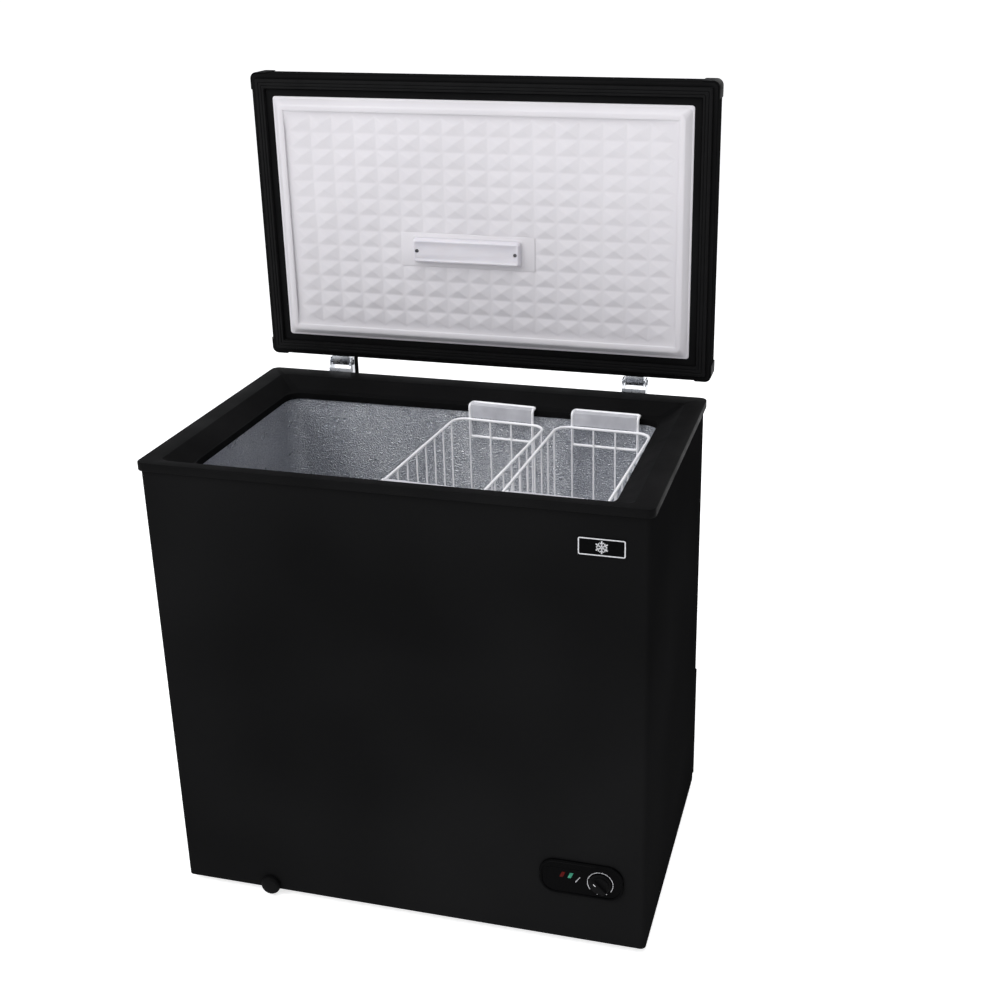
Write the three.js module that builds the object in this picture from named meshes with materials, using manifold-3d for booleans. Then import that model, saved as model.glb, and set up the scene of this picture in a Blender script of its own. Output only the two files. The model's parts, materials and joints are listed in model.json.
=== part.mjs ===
// A small chest freezer with its lid standing open: lengths in millimetres, +Z up, front at -Y.
// The cabinet is foamed steel around an aluminium tub. The lid swings on two sprung hinges,
// and two wire baskets hang from the ledge of the plastic collar.
import * as THREE from 'three';
import { mergeVertices } from 'three/addons/utils/BufferGeometryUtils.js';
import Module from 'manifold-3d';

const wasm = await Module();
wasm.setup();

// ---------------------------------------------------------------- driving dimensions
const fit = 0.3; // gap left between pieces that touch

const cabinet = { width: 832, depth: 512, height: 785, sheet: 1.2 };
const foot = { height: 12, radius: 19, inset: 52 };
const rim = { lip: 14, overhang: 5, cornerR: 14, wall: 2.5 };
// widths measured inward from the rim's outer edge
const flange = { side: 34, back: 38, front: 20, cornerR: 10 };
const slope = { side: 68, back: 66, front: 32, depth: 18, cornerR: 14 };
const opening = { side: 70, back: 82, front: 47, depth: 30, cornerR: 30 };
const tub = { sheet: 1, floorHeight: 84 };
// the compressor stands in a bay under the tub's step, so the step is as large as the bay needs
const compressor = { radius: 72, height: 150, deck: 26, plate: 96, fromBack: 162 };
const bay = { wall: 46, roof: 48, side: 28.85, headroom: 45.7, clear: 6 };

const hinge = { setback: 15, rise: 15, fromSide: 134, leafWidth: 33, bodyWidth: 43, plate: 2, pinR: 3 };
const lid = { overhang: 2, thickness: 44, sealGap: 6, sheet: 1.2, cornerR: 10, frameDepth: 8 };
const gasket = { inset: 9, width: 17, seat: 4 };
const panel = { inset: 39, flange: 1.6, bank: 13, proud: 12, border: 10, cornerR: 6 };
const pyramids = { columns: 17, rows: 13, height: 4, border: 8 };
const lamp = { columns: 6, rows: 2, firstColumn: 5, firstRow: 4, width: 200, height: 44, lens: 11 };
const cap = { size: 30, proud: 1.6 };

const basket = {
  width: 174, end: 10, depth: 215, wire: 2.5, rod: 1.6, cornerR: 24, ringDrop: 41,
  bend: 14, crossWires: 9, longWires: 4,
};
const basketClear = 9.2; // from the right basket to the opening's right side
const basketGap = 14.9;
const basketYaw = { left: -3.6, right: -1.8 }; // degrees: the baskets hang a little askew
const loop = { width: 118, drop: 74, onLedge: 10, bend: 5 };
const grip = { thick: 1.6 };

const control = { fromSide: 111.5, height: 121, width: 140, tall: 66, thick: 4 };
const knob = { dx: 32, radius: 15.5, depth: 14, skirt: 18.5, shaft: 3, setting: -54 };
const pilot = { redDx: -31, greenDx: -17.5, dz: 5.5, width: 6.5, tall: 11 };
const badge = { fromSide: 79, belowTop: 68, width: 73, tall: 29, thick: 1.6 };
const drain = { fromSide: 166, height: 9.5, capR: 17, bore: 6, tubeR: 7.5, inset: 60, capDepth: 9 };
const lead = { besideHinge: 28, radius: 3.6, drop: 75, bend: 13.5, steps: 14, sides: 8 };

// ---------------------------------------------------------------- derived places
const halfW = cabinet.width / 2;
const baseZ = foot.height;
const rimTop = baseZ + cabinet.height;
const wrapFront = rim.overhang;
const wrapBack = cabinet.depth - rim.overhang;
const hingeY = cabinet.depth + hinge.setback;
const hingeZ = rimTop + hinge.rise;
const knobFront = wrapFront - control.thick - knob.depth - fit;
const lidPlane = lid.sealGap - hinge.rise;
const lidBack = hingeY + lidPlane + lid.thickness;
const middleY = (knobFront + lidBack) / 2;
const hingeX = halfW - hinge.fromSide;
const controlX = halfW - control.fromSide;
const badgeX = halfW - badge.fromSide;
const drainX = -halfW + drain.fromSide;
const leadX = -hingeX + lead.besideHinge;

// ---------------------------------------------------------------- finishes
function finish(color, roughness, metalness) {
  return new THREE.MeshStandardMaterial({ color, roughness, metalness });
}
const blackPaint = finish(0x1b1b1d, 0.42, 0.1);
const blackPlastic = finish(0x151517, 0.5, 0);
const rubber = finish(0x0d0d0e, 0.8, 0);
const whitePlastic = finish(0xe9e8ec, 0.45, 0);
const stuccoAluminium = finish(0xb9bdc6, 0.35, 0.9);
const zincSteel = finish(0xa9abb0, 0.35, 0.95);
const whiteWire = finish(0xe4e4ea, 0.4, 0);
const foamYellow = finish(0xd9c48f, 0.95, 0);
const copper = finish(0xb26a42, 0.35, 0.95);
const compressorBlack = finish(0x101012, 0.45, 0.2);
const redLens = finish(0xb3261e, 0.25, 0);
const greenLens = finish(0x1fae6a, 0.25, 0);
const frostedLens = finish(0xdedbd8, 0.3, 0);

// ---------------------------------------------------------------- solid helpers
function toSolid(geometry) {
  const bare = geometry.clone();
  bare.deleteAttribute('normal');
  bare.deleteAttribute('uv');
  const merged = mergeVertices(bare, 1e-4);
  const vertProperties = new Float32Array(merged.attributes.position.array);
  const triVerts = new Uint32Array(merged.index.array);
  return new wasm.Manifold(new wasm.Mesh({ numProp: 3, vertProperties, triVerts }));
}

function toGeometry(solid) {
  const mesh = solid.getMesh();
  const geometry = new THREE.BufferGeometry();
  geometry.setAttribute('position', new THREE.BufferAttribute(mesh.vertProperties, 3));
  geometry.setIndex(new THREE.BufferAttribute(mesh.triVerts, 1));
  geometry.computeVertexNormals();
  return geometry;
}

function join(solids) {
  return solids.reduce((whole, solid) => whole.add(solid));
}

function cutAll(body, solids) {
  return solids.reduce((rest, solid) => rest.subtract(solid), body);
}

// a rectangle with round corners; segments are set when it is extruded
function roundRect(x0, y0, x1, y1, r) {
  const shape = new THREE.Shape();
  shape.moveTo(x0 + r, y0);
  shape.lineTo(x1 - r, y0);
  shape.absarc(x1 - r, y0 + r, r, -Math.PI / 2, 0);
  shape.lineTo(x1, y1 - r);
  shape.absarc(x1 - r, y1 - r, r, 0, Math.PI / 2);
  shape.lineTo(x0 + r, y1);
  shape.absarc(x0 + r, y1 - r, r, Math.PI / 2, Math.PI);
  shape.lineTo(x0, y0 + r);
  shape.absarc(x0 + r, y0 + r, r, Math.PI, 1.5 * Math.PI);
  return shape;
}

function prism(shape, z0, z1, curveSegments = 4) {
  const geometry = new THREE.ExtrudeGeometry(shape, { depth: z1 - z0, bevelEnabled: false, curveSegments });
  return toSolid(geometry.translate(0, 0, z0));
}

function box(x0, x1, y0, y1, z0, z1) {
  const geometry = new THREE.BoxGeometry(x1 - x0, y1 - y0, z1 - z0);
  return toSolid(geometry.translate((x0 + x1) / 2, (y0 + y1) / 2, (z0 + z1) / 2));
}

function cylinder(radius, x, y, z, length, axis, sides = 20) {
  const geometry = new THREE.CylinderGeometry(radius, radius, length, sides);
  if (axis === 'x') geometry.rotateZ(Math.PI / 2);
  if (axis === 'z') geometry.rotateX(Math.PI / 2);
  return toSolid(geometry.translate(x, y, z));
}

// a solid between two level outlines with the same number of points
function loft(lower, z0, upper, z1, curveSegments = 4) {
  const ring0 = lower.getPoints(curveSegments).slice(0, -1);
  const ring1 = upper.getPoints(curveSegments).slice(0, -1);
  const count = ring0.length;
  const positions = [];
  ring0.forEach((p) => positions.push(p.x, p.y, z0));
  ring1.forEach((p) => positions.push(p.x, p.y, z1));
  const index = [];
  for (let i = 0; i < count; i++) {
    const next = (i + 1) % count;
    index.push(i, next, count + next, i, count + next, count + i);
  }
  for (const [a, b, c] of THREE.ShapeUtils.triangulateShape(ring0, [])) index.push(a, c, b);
  for (const [a, b, c] of THREE.ShapeUtils.triangulateShape(ring1, [])) index.push(count + a, count + b, count + c);
  const geometry = new THREE.BufferGeometry();
  geometry.setAttribute('position', new THREE.Float32BufferAttribute(positions, 3));
  geometry.setIndex(index);
  return toSolid(geometry);
}

// straight runs joined by round bends, as bent wire or tube
class BentPath extends THREE.CurvePath {
  constructor(points, bendR) {
    super();
    let from = points[0];
    for (let i = 1; i < points.length - 1; i++) {
      const before = points[i - 1].clone().sub(points[i]).setLength(bendR).add(points[i]);
      const after = points[i + 1].clone().sub(points[i]).setLength(bendR).add(points[i]);
      if (from.distanceTo(before) > 0.01) this.add(new THREE.LineCurve3(from, before));
      this.add(new THREE.QuadraticBezierCurve3(before, points[i], after));
      from = after;
    }
    this.add(new THREE.LineCurve3(from, points[points.length - 1]));
  }

  // one step for each straight run and bendSteps for each bend
  stations(bendSteps) {
    const result = [];
    this.curves.forEach((curve, i) => {
      const steps = curve.isLineCurve3 ? 1 : bendSteps;
      for (let k = i === 0 ? 0 : 1; k <= steps; k++) result.push(curve.getPoint(k / steps));
    });
    return result;
  }
}

// a closed rod whose section is carried square to a flat or gently turning path
function sweep(stations, radius, sides, closed) {
  const count = stations.length;
  const tangents = stations.map((p, i) => {
    const prev = stations[closed ? (i + count - 1) % count : Math.max(i - 1, 0)];
    const next = stations[closed ? (i + 1) % count : Math.min(i + 1, count - 1)];
    return next.clone().sub(prev).normalize();
  });
  let side = new THREE.Vector3(0, 0, 1);
  if (Math.abs(tangents[0].z) > 0.9) side = new THREE.Vector3(0, 1, 0);
  const positions = [];
  stations.forEach((p, i) => {
    side = side.clone().addScaledVector(tangents[i], -side.dot(tangents[i])).normalize();
    const across = tangents[i].clone().cross(side);
    for (let k = 0; k < sides; k++) {
      const angle = (2 * Math.PI * k) / sides;
      const q = p.clone().addScaledVector(side, radius * Math.cos(angle));
      q.addScaledVector(across, radius * Math.sin(angle));
      positions.push(q.x, q.y, q.z);
    }
  });
  const index = [];
  const rings = closed ? count : count - 1;
  for (let i = 0; i < rings; i++) {
    const a = i * sides;
    const b = ((i + 1) % count) * sides;
    for (let k = 0; k < sides; k++) {
      const n = (k + 1) % sides;
      index.push(a + k, a + n, b + n, a + k, b + n, b + k);
    }
  }
  if (!closed) {
    const last = (count - 1) * sides;
    for (let k = 1; k < sides - 1; k++) {
      index.push(0, k + 1, k);
      index.push(last, last + k, last + k + 1);
    }
  }
  const geometry = new THREE.BufferGeometry();
  geometry.setAttribute('position', new THREE.Float32BufferAttribute(positions, 3));
  geometry.setIndex(index);
  return geometry;
}

function v(x, y, z) {
  return new THREE.Vector3(x, y, z);
}

// ---------------------------------------------------------------- scene graph
const freezer = new THREE.Group();
freezer.position.y = -middleY;

function add(group, name, material, geometry) {
  const mesh = new THREE.Mesh(geometry, material);
  mesh.name = name;
  group.add(mesh);
  return mesh;
}

function addSolid(group, name, material, solid) {
  return add(group, name, material, toGeometry(solid));
}

// outlines in plan, inset from the rim's outer edge; grow widens them
function rimOutline(inset, r = Math.max(rim.cornerR - inset, 1)) {
  return roundRect(-halfW + inset, inset, halfW - inset, cabinet.depth - inset, r);
}

function inletOutline(border, grow = 0) {
  const x = halfW - border.side + grow;
  const y0 = border.front - grow;
  const y1 = cabinet.depth - border.back + grow;
  return roundRect(-x, y0, x, y1, border.cornerR + grow);
}

// ---------------------------------------------------------------- collar
function collarRecess(grow, lift) {
  const mouth = prism(inletOutline(flange, grow), rimTop, rimTop + 1);
  const bank = loft(
    inletOutline(slope, grow), rimTop - slope.depth - lift,
    inletOutline(flange, grow), rimTop - (grow > 0 ? lift : 0));
  return { mouth, bank };
}

function makeCollar() {
  const lipWall = rim.overhang - fit;
  const lipInner = prism(rimOutline(lipWall), rimTop - rim.lip - 1, rimTop - rim.wall);
  const lip = prism(rimOutline(0), rimTop - rim.lip, rimTop).subtract(lipInner);
  const outer = collarRecess(rim.wall, rim.wall);
  const outerTop = prism(inletOutline(flange, rim.wall), rimTop - rim.wall, rimTop);
  const skirt = prism(inletOutline(opening, rim.wall), rimTop - opening.depth, rimTop - slope.depth);
  const inner = collarRecess(0, 0);
  const throat = prism(inletOutline(opening), rimTop - opening.depth - 1, rimTop - slope.depth + 0.01);
  const body = join([lip, outer.bank, outerTop, skirt]);
  return cutAll(body, [inner.mouth, inner.bank, throat]);
}
addSolid(freezer, 'rim_collar', blackPlastic, makeCollar());

// ---------------------------------------------------------------- steel casing
const frontHoles = {
  x0: controlX - control.width / 2 + 14,
  x1: controlX + control.width / 2 - 8,
  z0: baseZ + control.height - control.tall / 2 + 8,
  z1: baseZ + control.height + control.tall / 2 - 8,
};
const drainZ = baseZ + drain.height;
const drainY = opening.front + drain.inset;

function makeWrap() {
  const top = rimTop - rim.wall - fit;
  const t = cabinet.sheet;
  const outer = prism(rimOutline(rim.overhang), baseZ, top);
  const shell = outer.subtract(prism(rimOutline(rim.overhang + t), baseZ - 1, top + 1));
  const behind = box(-halfW, halfW, wrapBack - t - fit, wrapBack + 1, baseZ - 1, top + 1);
  const panelHole = box(frontHoles.x0, frontHoles.x1, wrapFront - 1, wrapFront + 8, frontHoles.z0, frontHoles.z1);
  const drainHole = cylinder(drain.tubeR + fit, drainX, wrapFront, drainZ, 12, 'y', 16);
  return cutAll(shell, [behind, panelHole, drainHole]);
}
addSolid(freezer, 'outer_wrap', blackPaint, makeWrap());

// the machine bay under the tub's step, open to the rear
const panFlange = 22;
const deckZ = baseZ + panFlange + fit;
const shellTop = deckZ + compressor.deck + compressor.height;
const bayRight = halfW - rim.overhang - cabinet.sheet - fit;
const bayLeft = bayRight - 2 * (compressor.plate + bay.side);
const stepX = bayLeft - bay.wall;
const bayTop = shellTop + bay.headroom;
const stepTop = bayTop + bay.roof;
const bayFront = wrapFront + cabinet.sheet + fit;
const ventZ0 = baseZ + 18;
const ventZ1 = bayTop - 14;
const ventX0 = bayLeft + bay.clear + 6;
const ventX1 = bayRight - bay.clear - 6;

function makeRearPanel() {
  const whole = prism(rimOutline(rim.overhang), baseZ, rimTop - rim.wall - fit);
  const sheet = whole.subtract(box(-halfW, halfW, 0, wrapBack - cabinet.sheet, baseZ - 1, rimTop));
  const vent = box(ventX0, ventX1, wrapBack - 10, wrapBack + 10, ventZ0, ventZ1);
  const leadHole = cylinder(lead.radius + 3, leadX, wrapBack, rimTop - lead.drop, 20, 'y', 16);
  return cutAll(sheet, [vent, leadHole]);
}
addSolid(freezer, 'rear_panel', blackPaint, makeRearPanel());

const panSlot = { width: 14, pitch: 34, y0: 130, y1: 230 };
function makeBasePan() {
  const t = cabinet.sheet;
  const inset = rim.overhang + t + fit;
  const pan = prism(rimOutline(inset), baseZ, baseZ + panFlange);
  const hollow = prism(rimOutline(inset + t), baseZ + t, baseZ + panFlange + 1);
  const drainHole = cylinder(drain.tubeR + fit, drainX, wrapFront, drainZ, 20, 'y', 16);
  const vents = [];
  for (let slotX = ventX0 + 12; slotX + panSlot.width < ventX1; slotX += panSlot.pitch) {
    vents.push(box(slotX, slotX + panSlot.width, panSlot.y0, panSlot.y1, baseZ - 1, baseZ + t + 1));
  }
  return cutAll(pan.subtract(hollow), [drainHole, ...vents]);
}
addSolid(freezer, 'base_pan', blackPaint, makeBasePan());

const footPlaces = {
  foot_front_left: [-1, 0],
  foot_front_right: [1, 0],
  foot_rear_left: [-1, 1],
  foot_rear_right: [1, 1],
};
function makeFoot() {
  const r = foot.radius;
  const top = foot.height - fit;
  const profile = [[0, 0], [r - 1.5, 0], [r, 1.5], [r - 2, top], [0, top]];
  return new THREE.LatheGeometry(profile.map(([a, b]) => new THREE.Vector2(a, b)), 16).rotateX(Math.PI / 2);
}
for (const [name, [side, rear]] of Object.entries(footPlaces)) {
  const mesh = add(freezer, name, rubber, makeFoot());
  mesh.position.x = side * (halfW - foot.inset);
  mesh.position.y = rear ? cabinet.depth - foot.inset : foot.inset;
}

// ---------------------------------------------------------------- tub
const tubTop = rimTop - slope.depth - rim.wall - fit;
const tubFloor = baseZ + tub.floorHeight;
const tubGrow = rim.wall + fit;

function tubBlock(grow, z0, z1, stepGrow) {
  const block = prism(inletOutline(opening, tubGrow + grow), z0, z1, 8);
  const step = box(stepX + stepGrow, halfW, 0, cabinet.depth, z0 - 1, stepTop - stepGrow);
  return block.subtract(step);
}

function makeTub() {
  const t = tub.sheet;
  const inside = tubBlock(0, tubFloor, tubTop + 1, 0);
  const drainHole = cylinder(drain.bore - 1, drainX, drainY, tubFloor, 12, 'z', 16);
  return tubBlock(t, tubFloor - t, tubTop, t).subtract(inside).subtract(drainHole);
}
addSolid(freezer, 'tub_liner', stuccoAluminium, makeTub());

// ---------------------------------------------------------------- evaporator and condenser tubes
const coil = { radius: 4, turns: 4, aboveStep: 38, belowRim: 143, stand: 2.6 };
const coilStart = stepTop + coil.aboveStep;
const coilPitch = (rimTop - coil.belowRim - coilStart) / coil.turns;
const coilGap = tub.sheet + 2 * fit + 2 * coil.radius + coil.stand;

function makeEvaporator() {
  const grow = tubGrow + tub.sheet + fit + coil.radius + coil.stand;
  const outline = inletOutline(opening, grow).getPoints(3).slice(0, -1);
  const stations = [];
  const count = outline.length;
  for (let i = 0; i <= coil.turns * count; i++) {
    const p = outline[i % count];
    stations.push(v(p.x, p.y, coilStart + (coilPitch * i) / count));
  }
  return sweep(stations, coil.radius, 5, false);
}
add(freezer, 'evaporator_tube', copper, makeEvaporator());

const condenser = { fromSide: 86, besideStep: 53.8, z0: 130, rows: 7, pitch: 48, radius: 2.6 };
const condenserX = { left: -halfW + condenser.fromSide, right: stepX - condenser.besideStep };
function makeCondenser() {
  const y = wrapBack - cabinet.sheet - fit - condenser.radius;
  const points = [];
  for (let i = 0; i < condenser.rows; i++) {
    const z = baseZ + condenser.z0 + i * condenser.pitch;
    const ends = i % 2 ? [condenserX.right, condenserX.left] : [condenserX.left, condenserX.right];
    points.push(v(ends[0], y, z), v(ends[1], y, z));
  }
  const path = new BentPath(points, condenser.pitch * 0.3);
  return sweep(path.stations(2), condenser.radius, 6, false);
}
add(freezer, 'condenser_tube', copper, makeCondenser());

// ---------------------------------------------------------------- foam
function makeFoam() {
  const inset = rim.overhang + cabinet.sheet + fit;
  const bottom = baseZ + cabinet.sheet + fit;
  const top = rimTop - rim.wall - fit;
  const upper = prism(rimOutline(inset), baseZ + panFlange + fit, top);
  const lower = prism(rimOutline(inset + cabinet.sheet + 2 * fit), bottom, baseZ + panFlange + 1);
  const whole = upper.add(lower);
  const room = tubBlock(tub.sheet + fit, tubFloor - tub.sheet - fit, rimTop, tub.sheet + fit);
  const coilRoom = prism(
    inletOutline(opening, tubGrow + coilGap), coilStart - 12, coilStart + coil.turns * coilPitch + 12, 3);
  const recess = collarRecess(rim.wall + fit, rim.wall + fit);
  const mouth = prism(inletOutline(flange, rim.wall + fit), rimTop - rim.wall - 2 * fit, rimTop);
  const skirt = prism(inletOutline(opening, rim.wall + fit), rimTop - opening.depth - fit, rimTop - 10);
  const machineBay = box(bayLeft, halfW, 0, cabinet.depth, 0, bayTop);
  const condenserRoom = box(
    condenserX.left - 8, condenserX.right + 8, wrapBack - cabinet.sheet - 2 * fit - 2 * condenser.radius - 1,
    cabinet.depth, baseZ + condenser.z0 - 8,
    baseZ + condenser.z0 + (condenser.rows - 1) * condenser.pitch + 8);
  const leadHole = cylinder(lead.radius + 3, leadX, wrapBack, rimTop - lead.drop, 60, 'y', 12);
  const drainRoute = [
    cylinder(drain.tubeR + fit, drainX, drainY / 2, drainZ, drainY + 2 * drain.tubeR + 1, 'y', 14),
    cylinder(drain.tubeR + fit, drainX, drainY, tubFloor / 2, tubFloor, 'z', 14),
  ];
  return cutAll(whole, [
    room, coilRoom, recess.bank, mouth, skirt, machineBay, condenserRoom, leadHole, ...drainRoute]);
}
addSolid(freezer, 'insulation_foam', foamYellow, makeFoam());

// ---------------------------------------------------------------- drain
function makeDrainTube() {
  const y = drainY;
  const top = tubFloor - tub.sheet - fit;
  const outerR = drain.tubeR;
  const front = wrapFront - 2;
  const down = cylinder(outerR, drainX, y, (top + drainZ) / 2, top - drainZ, 'z', 14);
  const along = cylinder(outerR, drainX, (y + outerR + front) / 2, drainZ, y + outerR - front, 'y', 14);
  const boreDown = cylinder(drain.bore, drainX, y, (top + drainZ) / 2 + 1, top - drainZ + 2, 'z', 14);
  const boreAlong = cylinder(drain.bore, drainX, (y + front) / 2 - 1, drainZ, y - front + 2, 'y', 14);
  return cutAll(down.add(along), [boreDown, boreAlong]);
}
addSolid(freezer, 'drain_tube', blackPlastic, makeDrainTube());

function makeDrainPlug() {
  const front = wrapFront - 2 - fit;
  const r = drain.capR;
  const depth = drain.capDepth;
  const stem = drain.bore - fit;
  const profile = [
    [0, 0], [r - 5, 0], [r - 2, 1.2], [r, 3.5], [r, depth], [stem, depth], [stem, depth + 22],
    [stem - 1.5, depth + 24], [0, depth + 24]];
  const points = profile.map(([a, b]) => new THREE.Vector2(a, b));
  return new THREE.LatheGeometry(points, 20).translate(drainX, front - depth, drainZ);
}
add(freezer, 'drain_plug', blackPlastic, makeDrainPlug());

// ---------------------------------------------------------------- machine bay
const compressorAt = { x: (bayLeft + bayRight) / 2, y: cabinet.depth - compressor.fromBack };

function makeMountPlate() {
  const { x, y } = compressorAt;
  const half = compressor.plate;
  const plate = prism(roundRect(x - half, y - half + 8, x + half, y + half - 8, 10), deckZ, deckZ + 2, 3);
  const legs = [-1, 1].map((side) => box(
    x + side * (half - 1) - 1, x + side * (half - 1) + 1, y - 78, y + 78, baseZ + cabinet.sheet + fit, deckZ + 1));
  return join([plate, ...legs]);
}
addSolid(freezer, 'compressor_mount', zincSteel, makeMountPlate());

function makeCompressor() {
  const { radius, height } = compressor;
  const z0 = deckZ + compressor.deck;
  const profile = [[0, 0], [radius * 0.72, 0], [radius * 0.95, 14], [radius, 30], [radius, 66]];
  profile.push([radius + 5, 68], [radius + 5, 74], [radius, 76], [radius, 112], [radius * 0.9, 132]);
  profile.push([radius * 0.62, height - 5], [0, height]);
  const points = profile.map(([a, b]) => new THREE.Vector2(a, b));
  const shell = new THREE.LatheGeometry(points, 20).rotateX(Math.PI / 2);
  const body = toSolid(shell.translate(compressorAt.x, compressorAt.y, z0));
  const feet = box(compressorAt.x - 84, compressorAt.x + 84, compressorAt.y - 20, compressorAt.y + 20, z0 - 4, z0 + 4);
  const bars = [-1, 1].map((side) => box(
    compressorAt.x + side * 78 - 12, compressorAt.x + side * 78 + 12,
    compressorAt.y - 74, compressorAt.y + 74, z0 - 4, z0));
  return join([body, feet, ...bars]);
}
addSolid(freezer, 'compressor', compressorBlack, makeCompressor());

function makeGrommet() {
  const tall = compressor.deck - 4 - 2 - 2 * fit;
  const profile = [[0, 0], [9, 0], [9, 5], [6.5, 7], [6.5, tall - 6], [9, tall - 4], [9, tall], [0, tall]];
  const points = profile.map(([a, b]) => new THREE.Vector2(a, b));
  return new THREE.LatheGeometry(points, 10).rotateX(Math.PI / 2);
}
[[-1, -1], [1, -1], [-1, 1], [1, 1]].forEach(([sx, sy], i) => {
  const mesh = add(freezer, `compressor_grommet_${i + 1}`, rubber, makeGrommet());
  mesh.position.set(compressorAt.x + sx * 78, compressorAt.y + sy * 60, deckZ + 2 + fit);
});

addSolid(freezer, 'start_relay_box', blackPlastic, box(
  compressorAt.x - 34, compressorAt.x + 34, compressorAt.y - compressor.radius - 44,
  compressorAt.y - compressor.radius - 6, deckZ + compressor.deck + 34, deckZ + compressor.deck + 96));

const tubeTop = bayTop - fit;
const suctionPath = new BentPath([
  v(compressorAt.x - 40, compressorAt.y + 30, shellTop - 6), v(compressorAt.x - 40, compressorAt.y + 30, shellTop + 9),
  v(bayLeft + 16, compressorAt.y + 30, shellTop + 9), v(bayLeft + 16, compressorAt.y + 30, tubeTop)], 5);
add(freezer, 'suction_tube', copper, sweep(suctionPath.stations(2), 3, 6, false));

const drierY = compressorAt.y - 150;
const drier = cylinder(9, bayLeft + 30, drierY, bayTop - 60, 70, 'z', 14);
addSolid(freezer, 'filter_drier', copper, drier);

// ---------------------------------------------------------------- bay grille and cord gland
function makeGrille() {
  const frame = 14;
  const y0 = wrapBack + fit;
  const plate = box(ventX0 - frame, ventX1 + frame, y0, y0 + 2.5, ventZ0 - frame + 4, ventZ1 + frame - 4);
  const slots = [];
  const pitch = 17;
  const count = Math.floor((ventZ1 - ventZ0 - 40) / pitch);
  const middle = (ventX0 + ventX1) / 2;
  for (let i = 0; i < count; i++) {
    const z = ventZ0 + 44 + i * pitch;
    slots.push(box(ventX0 + 6, middle - 5, y0 - 1, y0 + 4, z, z + 7));
    slots.push(box(middle + 5, ventX1 - 6, y0 - 1, y0 + 4, z, z + 7));
  }
  return cutAll(plate, slots);
}
addSolid(freezer, 'bay_grille', blackPlastic, makeGrille());

function makeGland() {
  const profile = [[0, 0], [11, 0], [11, 3], [7.5, 4.5], [6, 13], [0, 13]];
  const points = profile.map(([a, b]) => new THREE.Vector2(a, b));
  return new THREE.LatheGeometry(points, 14);
}
const gland = add(freezer, 'cord_gland', rubber, makeGland());
gland.position.set(ventX0 + 24, wrapBack + 2.5 + 2 * fit, ventZ0 + 20);

// ---------------------------------------------------------------- control panel
const controlZ = baseZ + control.height;
function frontPlate(x0, x1, z0, z1, r, y0, y1, curveSegments) {
  const geometry = new THREE.ExtrudeGeometry(
    roundRect(x0, z0, x1, z1, r), { depth: y1 - y0, bevelEnabled: false, curveSegments });
  return toSolid(geometry.rotateX(Math.PI / 2).translate(0, y1, 0));
}

function makeBezel() {
  const { width, tall, thick } = control;
  const x = controlX;
  const w = width / 2;
  const h = tall / 2;
  const y1 = wrapFront - fit;
  const y0 = y1 - thick;
  const plate = frontPlate(x - w, x + w, controlZ - h, controlZ + h, h * 0.8, y0, y1, 5);
  const dish = frontPlate(
    x - w + 5, x + w - 5, controlZ - h + 5, controlZ + h - 5, h * 0.8 - 5, y0 - 1, y0 + 1.5, 5);
  const shaftHole = cylinder(knob.shaft + 1, x + knob.dx, y0, controlZ - 2, 20, 'y', 18);
  const windows = [pilot.redDx, pilot.greenDx].map((dx) => box(
    x + dx - pilot.width / 2 - fit, x + dx + pilot.width / 2 + fit, y0 - 2, y1 + 1,
    controlZ + pilot.dz - pilot.tall / 2 - fit, controlZ + pilot.dz + pilot.tall / 2 + fit));
  return cutAll(plate, [dish, shaftHole, ...windows]);
}
addSolid(freezer, 'control_bezel', blackPlastic, makeBezel());

function makePilot(dx) {
  const x = controlX + dx;
  const y0 = wrapFront - fit - control.thick + 0.6;
  return box(
    x - pilot.width / 2, x + pilot.width / 2, y0, y0 + 14,
    controlZ + pilot.dz - pilot.tall / 2, controlZ + pilot.dz + pilot.tall / 2);
}
addSolid(freezer, 'power_lamp_red', redLens, makePilot(pilot.redDx));
addSolid(freezer, 'run_lamp_green', greenLens, makePilot(pilot.greenDx));

const knobX = controlX + knob.dx;
const knobZ = controlZ - 2;
const dishY = wrapFront - fit - control.thick + 1.5;
function makeKnob() {
  const front = dishY - fit - knob.depth;
  const profile = [
    [0, 0], [knob.radius - 3, 0], [knob.radius - 1.5, 1.2], [knob.radius, knob.depth - 3],
    [knob.skirt, knob.depth - 2.4], [knob.skirt, knob.depth], [0, knob.depth]];
  const points = profile.map(([a, b]) => new THREE.Vector2(a, b));
  const turned = toSolid(new THREE.LatheGeometry(points, 20));
  const shaft = cylinder(knob.shaft, 0, knob.depth + 8, 0, 20, 'y', 14);
  // two cut-away sides leave a finger bar across the knob's face
  const reach = knob.radius + 1;
  const bar = 4.5;
  const sides = [box(bar, reach, -1, 7, -reach, reach), box(-reach, -bar, -1, 7, -reach, reach)];
  const body = cutAll(turned.add(shaft), sides);
  return body.rotate([0, knob.setting, 0]).translate([knobX, front, knobZ]);
}
addSolid(freezer, 'thermostat_knob', blackPlastic, makeKnob());

const thermostatY = wrapFront + cabinet.sheet + 4;
function makeThermostat() {
  const block = box(knobX - 19, knobX + 19, thermostatY, thermostatY + 40, knobZ - 22, knobZ + 22);
  return block.subtract(cylinder(knob.shaft + 0.5, knobX, thermostatY, knobZ, 44, 'y', 14));
}
addSolid(freezer, 'thermostat_body', zincSteel, makeThermostat());

// ---------------------------------------------------------------- badge
const badgeZ = rimTop - badge.belowTop;
addSolid(freezer, 'badge_plate', zincSteel, frontPlate(
  badgeX - badge.width / 2, badgeX + badge.width / 2, badgeZ - badge.tall / 2, badgeZ + badge.tall / 2,
  3.5, wrapFront - fit - badge.thick, wrapFront - fit, 4));

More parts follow.
